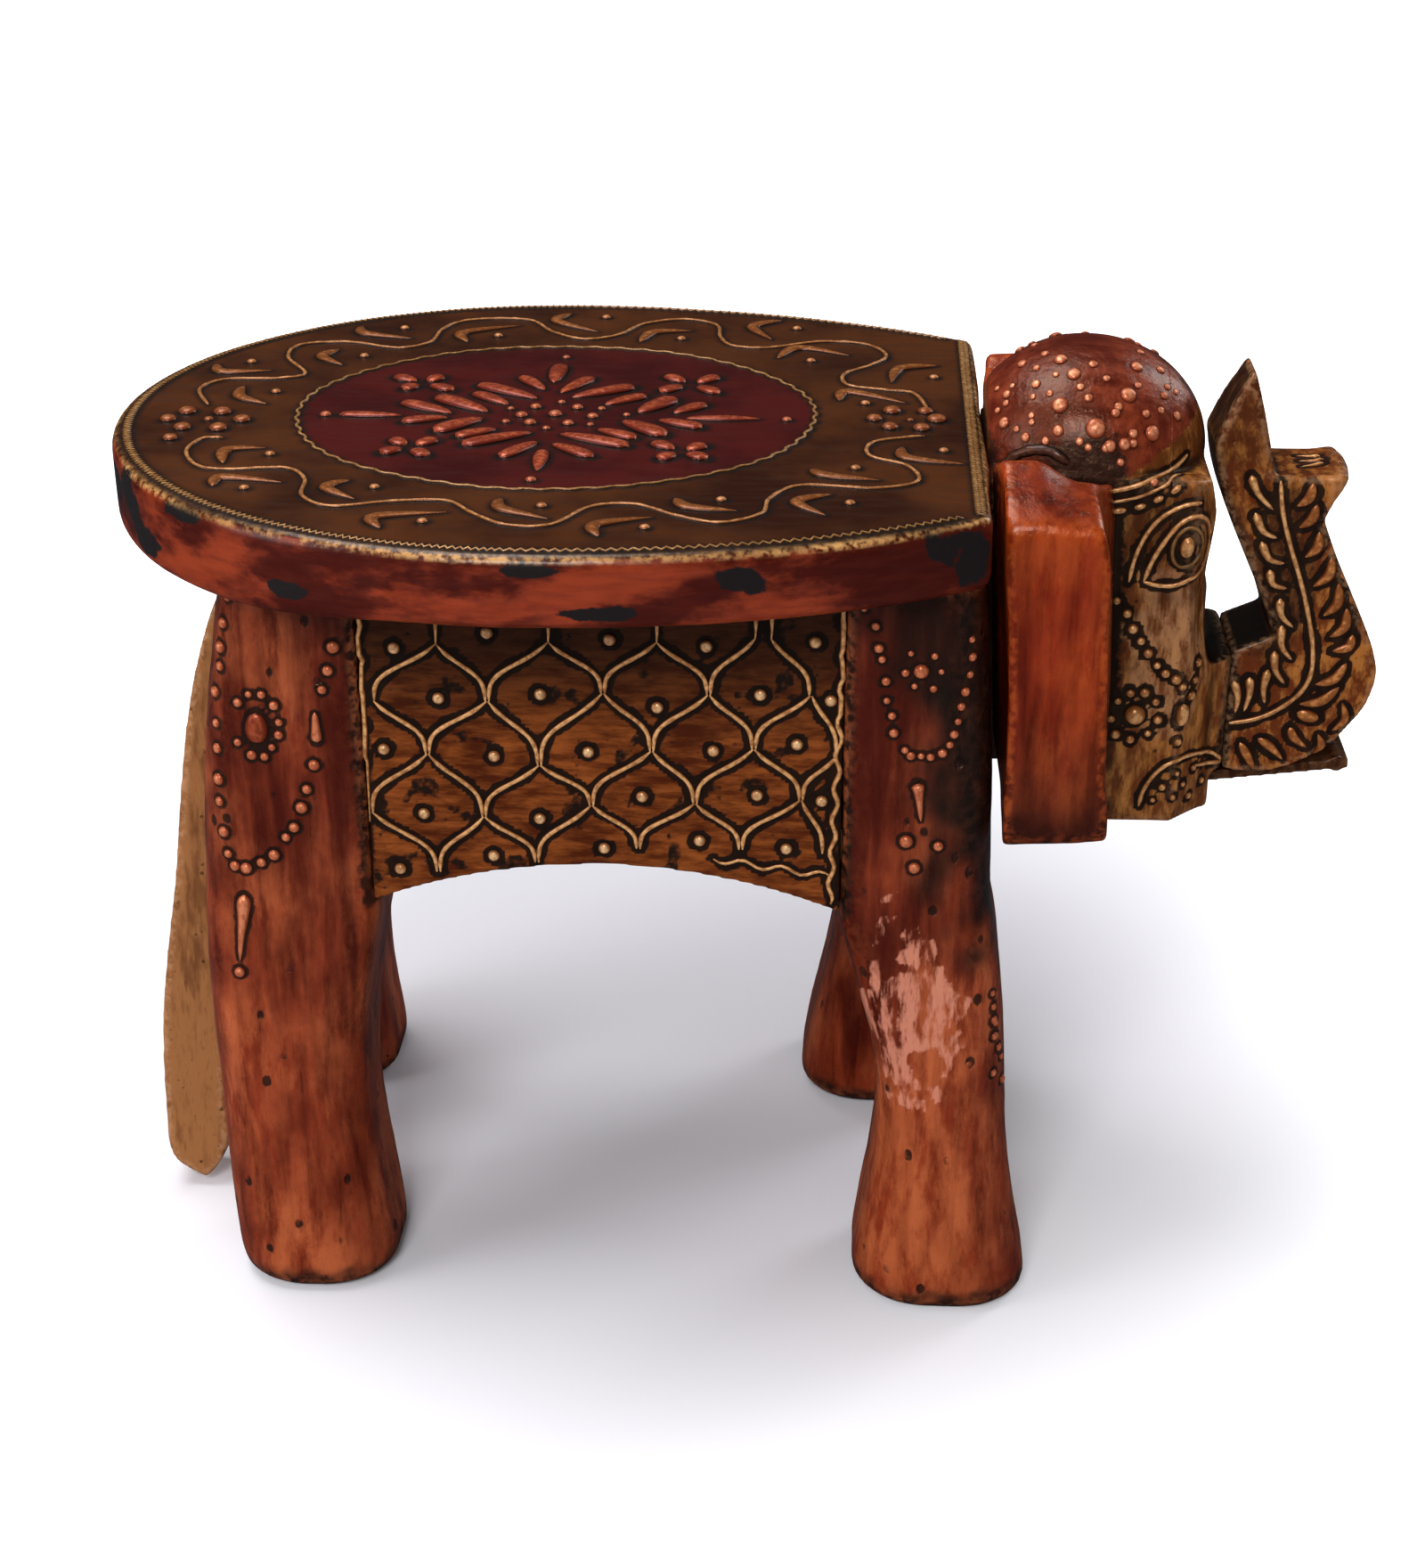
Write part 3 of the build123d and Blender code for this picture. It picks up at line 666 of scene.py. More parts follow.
def lacquer(name, pale, deep, burn, seed, low_lit=(0.0, 0.0), nicks=0.9, coat=0.4, stretch=(1, 1, 0.12)):
    """Red copper lacquer: streaks along the wood, paler in places, graded by height as painted light and
    shade, rubbed pale on edges, black in the hollows and in painted shade.
    """
    f = Finish(name, rough=0.42, coat=coat, gloss=0.45, tint=COPPER_GLOSS)
    streak = f.cloud(3.6, stretch, seed=seed + 1, detail=9, rough=0.5, warp=0.3)
    fine = f.cloud(0.9, stretch, seed=seed + 2, detail=4)
    broad = f.cloud(30, (1, 1, 0.6), seed=seed + 3, detail=5)
    # painted light and shade by height: on the legs a painted shade, with some grime, darkening up towards
    # the seat; on the ears a painted highlight over the upper part
    height = f.between(f.upwards(f.space), 0.0, 0.17, *low_lit)
    tone = f.plus(f.times(streak, 0.55), f.times(broad, 0.45))
    colour = f.mix(f.between(f.plus(tone, height), 0.34, 0.66), deep, burn)
    rag = f.cloud(5.5, (1, 1, 0.3), seed=seed + 4, detail=9, rough=0.68)
    lit = f.times(f.between(f.plus(broad, height), 0.40, 0.66), f.between(streak, 0.35, 0.6, 0.6, 1.0),
                  f.between(rag, 0.36, 0.56, 0, 0.75))
    colour = f.mix(lit, colour, pale)
    scrape = f.cloud(4.5, (1, 1, 0.22), seed=seed + 9, detail=8, rough=0.65, turn=(0.3, 0.5, 0))
    fleck = f.cloud(1.5, (1, 1, 0.3), seed=seed + 12, detail=5, rough=0.6, turn=(0.3, 0.5, 0))
    chip = f.plus(f.painted("wear"), f.times(scrape, 1.1), f.times(fleck, 0.75))
    colour = f.mix(f.between(chip, 1.82, 2.04, 0, 0.92), colour, BARE_COPPER)
    colour = f.mix(f.between(fine, 0.55, 0.8, 0, 0.45), colour, deep)
    hole = f.plus(f.specks(7.5, (1, 1, 0.7), seed + 5), f.times(fine, 0.12))
    hole = f.times(f.between(hole, 0.17, 0.22, 1, 0),
                   f.between(f.cloud(11, seed=seed + 6), 0.44, 0.52), nicks)
    black = f.most(hole, f.grime_and_shade(seed + 11, 0.92), f.times(f.painted("dip"), 0.8),
                   f.times(f.painted("shade"), f.between(rag, 0.3, 0.55, 0.75, 1.0)))
    colour = f.mix(black, colour, BLACK)
    rub = f.between(f.cloud(2.0, seed=seed + 7, detail=6), 0.38, 0.62)
    colour = f.mix(f.times(f.painted("rub"), rub, 0.75), colour, pale)
    rough = f.between(streak, 0.3, 0.7, 0.26, 0.42)
    dimple = f.cloud(3.4, seed=seed + 8, detail=3)
    return f.done(colour, rough, [(streak, 0.10), (fine, 0.05), (rag, 0.15), (dimple, 0.5), (hole, -0.5)])


def antique(name, gold, brown, seed, gold_share, stretch=(0.22, 1, 1), under_seat_shade=0.0):
    """Gold rubbed over dark brown, brushed along the grain, black in the hollows and in painted shade, and
    darkened towards the seat as painted shade when asked.
    """
    f = Finish(name, rough=0.42, metal=0.15, coat=0.25, tint=GOLD_GLOSS)
    brush = f.cloud(2.4, stretch, seed=seed + 1, detail=8, rough=0.66)
    fine = f.cloud(0.8, stretch, seed=seed + 2, detail=4)
    broad = f.cloud(24, seed=seed + 3, detail=4)
    share = f.plus(f.times(brush, 0.7), f.times(broad, 0.3))
    colour = f.mix(f.between(share, *gold_share), brown, gold)
    colour = f.mix(f.between(fine, 0.52, 0.75, 0, 0.5), colour, brown)
    colour = f.mix(f.times(f.painted("wear"), f.between(brush, 0.36, 0.56)), colour, RUBBED_GOLD)
    # painted shade: darker towards the top, up under the seat
    if under_seat_shade:
        colour = f.mix(f.between(f.upwards(f.space), 0.138, 0.170, 0, under_seat_shade), colour, UNDER_SEAT_SHADE)
    pit = f.times(f.between(f.specks(2.6, (1, 1, 1), seed + 4), 0.12, 0.22, 1, 0),
                  f.between(f.cloud(6, seed=seed + 5), 0.5, 0.62))
    black = f.most(f.times(pit, 0.7), f.grime_and_shade(seed + 7, 0.96), f.times(f.painted("dip"), 0.85),
                   f.painted("shade"))
    colour = f.mix(black, colour, BLACK)
    rub = f.between(f.cloud(1.6, seed=seed + 6, detail=6), 0.4, 0.62)
    colour = f.mix(f.times(f.painted("rub"), rub, 0.8), colour, RUBBED_GOLD)
    rough = f.between(brush, 0.3, 0.7, 0.34, 0.5)
    return f.done(colour, rough, [(brush, 0.10), (fine, 0.05), (pit, -0.2)])


def piping(name, top, side, seed, bare):
    """Relief paint: bright where it stands proud, dark at its foot."""
    f = Finish(name, rough=0.3, metal=0.25, coat=0.15)
    proud = f.painted("proud")
    scuff = f.cloud(1.3, seed=seed + 1, detail=5)
    drift = f.cloud(16, seed=seed + 2, detail=3)
    colour = f.mix(f.between(proud, 0.05, 0.45), BLACK, side)
    bright = f.times(f.between(proud, 0.5, 0.9), f.between(scuff, *bare, 0.25, 1.0),
                     f.between(drift, 0.3, 0.6, 0.55, 1.0))
    return f.done(f.mix(bright, colour, top), None, [(scuff, 0.08)])


# near-black for the neck block and chest rail: dark stained wood that also stands in for the shade they lie
# in, between legs and ears
def dark_stain():
    f = Finish("dark_stain", rough=0.55)
    streak = f.cloud(2.5, (1, 1, 0.15), seed=31, detail=6)
    colour = f.mix(f.between(streak, 0.35, 0.65), (0.010, 0.006, 0.004), (0.045, 0.020, 0.010))
    return f.done(colour, None, [(streak, 0.1)])


def bare_wood():
    f = Finish("bare_wood", rough=0.6)
    streak = f.cloud(1.5, (1, 1, 0.1), seed=41, detail=5)
    colour = f.mix(f.between(streak, 0.3, 0.7), (0.42, 0.27, 0.14), (0.62, 0.44, 0.26))
    return f.done(colour, None, [(streak, 0.06)])


# --- sculpting ---------------------------------------------------------------------------------
def shape_seat(body):
    """The plank's edge leans and swells a little, as a spokeshave leaves it."""
    side = 1 - ramp(np.abs(body.no[:, 2]), 0.3, 0.8)
    body.swell(side * body.wave(34, 5) * 0.5)
    p = body.local()
    outer = ramp(np.hypot(p[:, 0] / SEAT_REAR, p[:, 1] / SEAT_HALF), 0.8, 0.93)
    behind = ramp(-p[:, 0] - 0.35 * p[:, 1], 45, 85) * outer
    p[:, 2] -= 3.0 * behind * (1 - ramp(p[:, 2], -14, -4))
    body.place(p)


def shape_leg(body):
    """The foot rounded in under its widest line."""
    p = body.local()
    low = 1 - ramp(p[:, 2], -200, -192)
    middle = p[p[:, 2] < -185].mean(0)[:2]
    p[:, :2] = middle + (p[:, :2] - middle) * (1 - 0.035 * low ** 1.6)[:, None]
    body.place(p)


def shape_head(body):
    """Brows, eyes and cheeks raised on the block, the mouth corner let in."""
    for sign in SIDES.values():
        p = body.local()
        lift = bulge(p, (142, sign * 25, -17), (15, 14, 13), 2.6)
        lift += bulge(p, (131, sign * 26, -4), (16, 12, 6), 1.2)
        lift += bulge(p, (138, sign * 25, -44), (20, 14, 20), 1.2)
        lift -= bulge(p, (149, sign * 20, -38), (7, 16, 16), 2.4)
        lift -= bulge(p, (152, sign * 22, -62), (3.0, 14, 26), 1.6)
        lift += bulge(p, (144, sign * 24, -77), (12, 12, 9), 0.8)
        body.swell(lift)
    p = body.local()
    p[:, 0] -= 2.3 * ramp(p[:, 0], 141, 150) * hump(p[:, 2], -21, 15)
    body.place(p)


def rounded_corner(p, x, z, radius, sx, sz, share=1.0):
    """Points beyond a quarter circle round (x, z) brought onto it; sx and sz say which quarter."""
    dx, dz = (p[:, 0] - x) * sx, (p[:, 2] - z) * sz
    away = np.hypot(dx, dz)
    beyond = (dx > 0) & (dz > 0) & (away > radius)
    pull = np.where(beyond, 1 - share * (1 - radius / np.maximum(away, 1e-6)), 1.0)
    p[:, 0] = np.where(beyond, x + (p[:, 0] - x) * pull, p[:, 0])
    p[:, 2] = np.where(beyond, z + (p[:, 2] - z) * pull, p[:, 2])


def shape_ear(body):
    """The fan flares a little to its foot, its corners are rounded and its top runs down in front."""
    p = body.local()
    out = ramp(np.abs(p[:, 1]), 26, 40)
    p[:, 2] -= 3.2 * ramp(-p[:, 2], 50, 78) * out
    inner = 1 - ramp(np.abs(p[:, 1]), 30, 58)
    p[:, 2] += (1.4 - (5.2 + 4.0 * ramp(p[:, 0], 104, 120)) * inner) * ramp(p[:, 2], -12, 3)
    p[:, 0] += (1.4 * (1 - ramp(p[:, 0], 101, 108)) - 3.0 * ramp(p[:, 0], 106, 122)) * out
    front = ramp(p[:, 0], 106, 122)
    p[:, 2] -= 2.5 * front * ramp(p[:, 2], -12, 4)
    p[:, 0] -= 2.2 * front * ramp(p[:, 2], -14, 2) * out
    p[:, 0] += 0.9 * front * ramp(-p[:, 2], 55, 75) * out
    p[:, 0] += 0.7 * hump(p[:, 2], -42, 26) * (1 - front) * out
    rounded_corner(p, 115.2, -77.4, 5.2, 1, -1)
    rounded_corner(p, 105.4, -79.2, 3.4, -1, -1)
    body.place(p)


def shape_trunk(body):
    """Grooves beside the blade, the knuckles of the bend, a scooped hook."""
    groove = [(153.5, 9), (155.5, -4), (158, -16), (161.5, -28), (164.5, -38)]
    for sign in SIDES.values():
        p = body.local()
        lift = np.zeros(len(p))
        for (x, z), (u, w) in zip(groove, groove[1:]):
            for t in (0.0, 0.33, 0.66):
                lift -= bulge(p, (x + (u - x) * t, sign * 11, z + (w - z) * t), (2.4, 9, 4.5), 0.35)
        lift += bulge(p, (178, sign * 10, -56), (9, 9, 18), 0.9)
        lift += bulge(p, (178, sign * 4, -10), (8, 12, 7), 1.3)
        body.swell(lift)
    p = body.local()
    low = 1 - ramp(p[:, 2], -80, -60)
    p[:, 2] += 3.0 * low * ramp(p[:, 0], 163, 184)
    p[:, 0] -= 2.2 * low * ramp(p[:, 0], 172, 186)
    p[:, 0] -= 1.2 * ramp(p[:, 0], 168, 180) * hump(p[:, 2], -34, 20)
    body.place(p)


# --- seat ---------------------------------------------------------------------------------------
# points (x, y) seen from above; what lies at negative y is on the right side
FAR_VINE = [
    (-78, 1), (-82.5, 12), (-78, 19.5), (-66, 21), (-60.5, 25), (-67, 37), (-66, 47), (-55, 50),
    (-42, 46), (-35, 51), (-33.5, 62), (-29, 69), (-20, 71.5), (-12, 70), (-6, 61), (2, 55.5),
    (10, 59), (16, 69), (26, 73.5), (34, 69), (35.5, 59), (39, 52), (48, 51), (60, 56.5), (71, 55),
    (76, 46), (72, 38), (66, 31), (67, 23), (75, 20), (82, 18), (85, 7)]
NEAR_VINE = [
    (-69.5, -21), (-74, -22), (-75.5, -30), (-71, -39), (-64, -41), (-52, -39.5), (-46.5, -46),
    (-45, -56), (-38, -61.5), (-26, -58), (-15, -57), (-8.5, -64), (-1, -70), (8, -69.5), (15, -59),
    (24, -57), (33, -63), (42, -66.5), (50, -61), (51.5, -52), (58, -44), (73, -45), (82, -40.5),
    (80, -31), (72, -25), (73, -16), (84, -11.5)]
# each leaf by three points of its line, and the bead beside it
SEAT_LEAVES = [
    ((-83, 31), (-80, 25), (-69, 27), (-75, 33)), ((-73, 15), (-72, 7), (-65, 2.5), (-64.5, 11)),
    ((-56, 44), (-59, 38), (-53, 32), (-49, 39)), ((-54, 63), (-52, 57), (-40, 54), (-43, 62)),
    ((-26, 52), (-28, 59), (-15, 66), (-19, 57)), ((-3, 77), (-6, 70), (5, 62), (6, 74)),
    ((16, 54), (19, 62), (28, 64), (26, 57)), ((50, 74), (43, 68), (48, 58), (54, 67)),
    ((50, 43), (55, 51), (67, 46), (58, 41)), ((88, 39), (79, 36), (77, 26), (87, 30)),
    ((65, 12), (67, 18), (80, 11), (71, 10)), ((-66, -37), (-67, -29), (-59, -27), (-57, -31)),
    ((-65, -51), (-64, -46), (-51, -48), (-58, -52)), ((-37, -46), (-41, -51), (-34, -57), (-31, -50)),
    ((-26, -73), (-28, -67), (-14, -63.5), (-18, -69)), ((-4, -55), (-3, -61), (7, -66), (5, -59)),
    ((18, -75), (17, -69), (28, -64), (27, -70)), ((32, -53), (35, -58), (45, -59.5), (41.5, -53.5)),
    ((64, -49), (57, -54), (63, -61), (68, -54)), ((59.5, -34), (63, -38), (74, -40), (69, -33)),
    ((79, -19), (80, -26), (92, -29), (88, -21))]
BERRIES = [
    ((81, -1), 0.8), ((77, 5), 2.2), ((84.5, 5), 1.9), ((73, -0.5), 1.9), ((87, -0.5), 2.4),
    ((76.5, -6), 2.0), ((83.5, -6.5), 2.1), ((-75.5, -9), 1.2), ((-81.5, -4), 2.2), ((-73.5, -4), 2.2),
    ((-84.5, -9.5), 2.0), ((-68, -9), 2.1), ((-80, -15), 2.1), ((-72, -15), 2.2), ((-81, -22), 1.8)]
PETAL_DOTS = [
    (1.5, -1.5, 1.7), (-9, 2, 0.9), (-9, -7, 1.0), (11.5, 3, 1.0), (10, -8, 0.9), (2, 7, 1.0),
    (0.5, -11, 1.0), (17.5, -1, 0.9), (-3.5, 3.5, 1.4), (6, 3.5, 1.4), (-6, -2.5, 1.5),
    (10, -2.5, 1.4), (-3.5, -7.5, 1.5), (5, -7.5, 1.4), (53.5, -2.5, 1.2), (-50, -4.5, 1.4),
    (-0.5, 40.5, 1.0), (1, -44, 1.3)]
# round end, pointed end and half width
PETALS = [
    ((-18, 12), (-10, 5), 2.0), ((-18, 18), (-4, 9.5), 2.3), ((-9, 24), (-3, 16), 1.9),
    ((-1, 33), (-1.5, 21.5), 2.2), ((7, 24.5), (1, 14), 2.0), ((17, 18.5), (4, 11), 2.3),
    ((20, 12.5), (12, 6), 2.0), ((26.5, 10.5), (20, 1), 2.6), ((33.5, 7), (28, 1), 2.0),
    ((33.5, -8.5), (25, -4), 2.1), ((26, -14), (17, -5), 2.6), ((20, -16), (12, -11), 2.0),
    ((19, -21), (4, -14.5), 2.3), ((12, -28), (3, -21), 2.0), ((-7, -29), (-0.5, -20), 2.0),
    ((-16, -22), (-2.5, -14), 2.3), ((-18, -17), (-10.5, -12), 2.0), ((-23, -14), (-14.5, -5), 2.5),
    ((-31, -8), (-22.5, -5), 2.0), ((-33, 5), (-22, -2), 2.2), ((-26, 9), (-14, -0.5), 2.5)]
SPRIGS = [
    ((-37, 22.5), (-34.5, 15.5), (-29, 23), (-26, 15.5)),
    ((26, 26), (25.5, 17.5), (35, 26), (35.5, 17)),
    ((-31, -21.5), (-32, -28), (-24, -21), (-24.5, -29)),
    ((26.5, -20.5), (28, -28.5), (35, -21.5), (35.5, -28))]


def above(body, x, y):
    """The point of a top surface straight under (x, y)."""
    return body.surface.ray_cast(at(x, y, 20), Vector((0, 0, -1)))[0] or at(x, y, 0)


def along_top(body, points, steps):
    return [above(body, p.x, p.y) for p in flowing([Vector((x, y, 0)) for x, y in points], steps)]


def seat_vines(relief):
    body = relief.body
    relief.line("vine", along_top(body, FAR_VINE, 8), 0.55, seed=1)
    relief.line("vine", along_top(body, NEAR_VINE, 8), 0.55, seed=2)
    for *leaf, dot in SEAT_LEAVES:
        relief.leaf("leaf", along_top(body, leaf, 7), 1.75, 0.45, 0.9)
        relief.bead("dot", above(body, *dot), 1.2)
    for place, size in BERRIES:
        relief.bead("berry", above(body, *place), size)


def medallion_flower(relief):
    """A flower of teardrops with four sprigs and three spears."""
    body = relief.body
    for x, y, size in PETAL_DOTS:
        relief.bead("petal_dot", above(body, x, y), size)
    for (x, y), end, width in PETALS:
        relief.leaf("petal", along_top(body, [(x * 1.04, y * 1.04), end], 12), width * 1.1, 0.36, 0.55)
    relief.leaf("petal", along_top(body, [(1.5, -25), (1.5, -31), (1.5, -38)], 5), 2.0, 0.42, 0.8)
    relief.leaf("petal", along_top(body, [(31, -2.5), (39, -2.4), (47.5, -2)], 6), 1.7, 0.45, 0.7)
    relief.leaf("petal", along_top(body, [(-47, -4), (-33, -4)], 12), 1.8, 0.36, 0.6)
    for sprig in SPRIGS:
        heart = np.mean(sprig, 0)
        for tip in np.array(sprig):
            ends = [heart + (tip - heart) * 1.35, heart + (tip - heart) * 0.35]
            relief.leaf("petal", along_top(body, ends, 9), 2.2, 0.4, 0.5)


def rim(inset, start, stop, count):
    """Points and outward directions on the seat's outline, inset from it, between two angles."""
    out = []
    for i in range(count):
        a = math.radians(start + (stop - start) * i / (count - 1))
        reach = SEAT_REAR if math.cos(a) < 0 else FRONT_AXIS
        dx, dy = math.cos(a) / reach, math.sin(a) / SEAT_HALF
        size = math.hypot(dx, dy)
        x, y = reach * math.cos(a) - inset * dx / size, SEAT_HALF * math.sin(a) - inset * dy / size
        out.append((x, y, dx / size, dy / size))
    return out


def seat_borders(relief):
    """A serrated line round the medallion, a zigzag rope inside the rim, a braid along the front."""
    body = relief.body
    ring = []
    for i in range(240):
        a = 2 * math.pi * i / 240
        r = 1 + 0.010 * (i % 4 in (1, 2)) + 0.004 * math.sin(a * 7)
        x, y = MEDALLION_LONG * r * math.cos(a), MEDALLION_WIDE * r * math.sin(a)
        ring.append(above(body, MEDALLION_X + x, y))
    relief.line("rope", ring, 0.42, closed=True, seed=4)
    rope = []
    for i, (x, y, nx, ny) in enumerate(rim(3.6, 47, 313, 560)):
        shift = 0.65 * (1 if i % 2 else -1)
        rope.append(above(body, x + nx * shift, y + ny * shift))
    relief.line("rope", rope, 0.42, seed=5)
    for phase in (0, 1):
        braid = []
        for i in range(111):
            shift = 0.95 * (1 if (i + phase) % 2 else -1)
            braid.append(above(body, BRAID_X + shift, -59 + 120 * i / 110))
        relief.line("rope", braid, 0.40, seed=6 + phase)


def seat_relief(body):
    relief = Relief(body)
    seat_vines(relief)
    medallion_flower(relief)
    seat_borders(relief)
    return relief


# --- side panels: an ogee lattice ---------------------------------------------------------------
# Rows of the points where two lines meet, from the top down; the last of the first row stays open.
LATTICE = [
    [(-19, -33), (5, -32), (28, -31.5), (50.5, -30)],
    [(-33.3, -46.5), (-8.5, -46), (16.4, -43.5), (39, -43.3), (60.8, -43)],
    [(-22, -59), (2.3, -61), (26.7, -57), (48.7, -56), (66.8, -57)],
    [(-35.2, -73.5), (-10.3, -74), (13.4, -70.5), (36, -69.5), (59, -68)],
    [(-21, -88), (1, -85), (23.5, -81), (46, -80.5), (64.3, -81)]]
CELL_DOTS = [
    (-28, -34), (-8, -30), (18, -31), (38.5, -32), (61.5, -30.5), (-19, -45.5), (3, -44), (28, -46.5),
    (50, -43), (65, -44), (-31.5, -58), (-7.5, -59), (13, -57.5), (40, -56.5), (58, -54.5),
    (-23.5, -73.5), (2, -74), (24.5, -68), (49.5, -67), (63.5, -68), (-29.5, -87.5), (-8.5, -83.5),
    (16, -81), (37, -78.5), (56, -80)]
APART, OPEN_APART = 0.15, 1.7       # from a node to the start of its lines
BAND_FOOT = -16.5                   # lower edge of the plain band along the top


def panel_face(body, x, z):
    """The point of a panel's flat face at (x, z), or None beside it."""
    place, normal, _, _ = body.surface.ray_cast(at(x, -120, z), Vector((0, 1, 0)))
    return place if place is not None and abs(normal.y) >= 0.5 else None


def panel_line(relief, points, width, seed):
    stretch = [panel_face(relief.body, x, z) for x, z in points]
    stretch = [p for p in stretch if p is not None]
    if len(stretch) > 3:
        relief.line("gold", stretch, width, seed=seed)


def ogee(start, end, sign, apart):
    """Half of a lattice cell's outline: steep away from its start, slow into its end."""
    (x, z), (u, w) = start, end
    points = []
    for i in range(15):
        t = i / 14
        rest = max(0.0, 1 - t + 0.075 * math.sin(2 * math.pi * t))
        across = (u - x - sign * (apart + 0.4)) * (1 - rest ** 2.1)
        points.append((x + sign * apart + across, z + (w - z) * t))
    return points


def lattice(relief):
    seed = 0
    for upper, lower in zip(LATTICE, LATTICE[1:]):
        for start in upper:
            for sign in (-1, 1):
                ends = [q for q in lower if 4 < (q[0] - start[0]) * sign < 19]
                if ends:
                    seed += 1
                    end = min(ends, key=lambda q: abs(q[0] - start[0]))
                    apart = OPEN_APART if start == LATTICE[0][3] else APART
                    panel_line(relief, ogee(start, end, sign, apart), 0.58, seed)
    for i, (x, z) in enumerate(LATTICE[0]):
        for aside in ((0,) if i < 3 else (-OPEN_APART, OPEN_APART)):
            stem = [(x + aside + 0.15 * math.sin(k), z + (BAND_FOOT - z) * k / 7) for k in range(8)]
            panel_line(relief, stem, 0.52, 90 + i + aside)


def panel_relief(body):
    relief = Relief(body)
    lattice(relief)
    rear = [(-35.2 + 0.02 * (z + 17) + 0.6 * math.sin(z * 0.8) + 0.2 * math.sin(z * 1.3), z)
            for z in np.linspace(-17, -96, 60)]
    front = [(68.0 - 0.03 * (-17 - z) + 0.6 * math.sin(z * 0.8), z) for z in np.linspace(-17, -95, 58)]
    foot = [(40 + t * 26, -83 - 3.6 * t - 0.8 * math.sin(t * 19)) for t in np.linspace(0, 1, 20)]
    panel_line(relief, rear, 0.6, 101)
    panel_line(relief, front, 0.6, 102)
    panel_line(relief, foot, 0.45, 103)
    for x, z in CELL_DOTS:
        place = panel_face(body, x, z)
        if place:
            relief.bead("gold_dot", place, 1.4)
    return relief


# --- legs: a bead necklace, a rosette and a pendant ---------------------------------------------
REAR_NECKLACE = [
    (-62, -22), (-63.5, -28), (-64.5, -33.5), (-65, -38), (-66.5, -44), (-67, -51.5), (-67.3, -57.5),
    (-67.7, -65), (-68, -70.5), (-67.7, -78), (-67.2, -83.5), (-66, -86.5), (-63.5, -87), (-60, -85.5),
    (-57, -83.5), (-54, -79), (-52, -76.5), (-50, -71.5), (-48.5, -67), (-46.5, -61), (-43.5, -43),
    (-42, -38.5), (-40.5, -33)]
REAR_RING = [
    (-59.5, -44.5), (-56.7, -44.5), (-54.2, -47), (-53.4, -51), (-53.7, -54), (-55.4, -57),
    (-57.2, -59.3), (-60, -59), (-62.8, -56), (-62, -46.5)]
FRONT_NECKLACE = [
    (71.5, -21.5), (74, -25.5), (74.8, -30.5), (75.5, -33), (76.5, -38), (76.8, -42.5), (78, -46),
    (78.5, -50), (81, -54), (82.3, -55.3), (84.5, -55.3), (86.5, -55.5), (89, -54.5), (90.5, -52.5),
    (91.3, -50), (92, -47), (92.5, -43.5), (93.2, -40), (94, -36), (94.3, -32), (94, -28)]
FRONT_ROSETTE = [(81.5, -31.5), (86.5, -32), (80.5, -36), (82.5, -39), (86.5, -39.5), (88, -35.5)]
KNEE = [
    (105.2, -115), (103.5, -121.5), (106, -122), (103.8, -125), (104.5, -128), (105.2, -130.5),
    (103.7, -135), (105.7, -136.5), (105.6, -118.5), (106.2, -126.5)]


def rear_leg_relief(body):
    relief = Relief(body, LEG_DEPTH)
    relief.row("copper", 1.25, REAR_NECKLACE)
    relief.row("copper", 1.0, REAR_RING)
    oval = [(-58.4, -49), (-58.4, -51.5), (-58.5, -54), (-58.5, -56)]
    relief.leaf("copper_flat", relief.traced(oval, 4), 2.6, 0.5, 0.45)
    relief.drop("copper", relief.traced([(-45.5, -55.5), (-45.5, -52), (-45.5, -48.5)], 4), 1.3, 0.5)
    pendant = [(-64.6, -94), (-65.2, -99), (-66.2, -105), (-67, -111)]
    relief.drop("copper", relief.traced(pendant, 5), 1.7, 0.25)
    relief.bead("copper", relief.spot(-67.3, -114), 1.3)
    return relief


def front_leg_relief(body):
    relief = Relief(body, LEG_DEPTH)
    relief.row("copper", 0.95, FRONT_NECKLACE)
    relief.row("copper", 0.8, FRONT_ROSETTE)
    relief.bead("copper", relief.spot(83.8, -35.5), 1.7)
    relief.drop("copper", relief.traced([(84, -62), (84.4, -65), (85, -71)], 5), 1.5, 0.3)
    for x, z, size in ((82, -76, 1.6), (89, -77, 1.2), (84, -82.5, 1.4)):
        relief.bead("copper", relief.spot(x, z), size)
    relief.row("copper", 0.95, KNEE)
    return relief


# --- head ---------------------------------------------------------------------------------------
# lines of the face as (points, half width), in the order of their seeds from 1
BROW_LINES = [
    ([(121, -7.2), (126, -6.2), (130, -5), (134, -3), (137, -1), (139.5, 2)], 0.6),
    ([(122.5, -9.4), (127, -8.6), (131, -7.4), (135, -5.4), (138.5, -2.4)], 0.42)]
EYE_LINES = [
    ([(129.3, -27.5), (130.2, -22), (132, -17), (134.5, -13.2), (137.5, -10.8), (140.5, -9.4),
      (143.5, -8.9)], 0.55),
    ([(132.5, -27.4), (134, -22.6), (136, -18.6), (138.6, -14.6), (141, -12.6), (143.4, -12), (145.2, -13.4),
      (145.8, -17)], 0.6),
    ([(132.5, -27.4), (136, -28.2), (139.5, -28), (142.6, -26.4), (144.8, -23.2), (145.8, -17)], 0.6)]
BROW_DASHES = [((124.5, -11.2), (127.5, -10.8)), ((129.2, -10.4), (131.6, -9.6)),
               ((133.2, -8.8), (135.2, -7.6)), ((136.8, -6.8), (138.8, -5))]
TEMPLE = [(124.5, -13), (124.4, -16), (124.4, -19.2), (124.6, -22.3), (124.8, -25.4), (125.2, -28.4)]
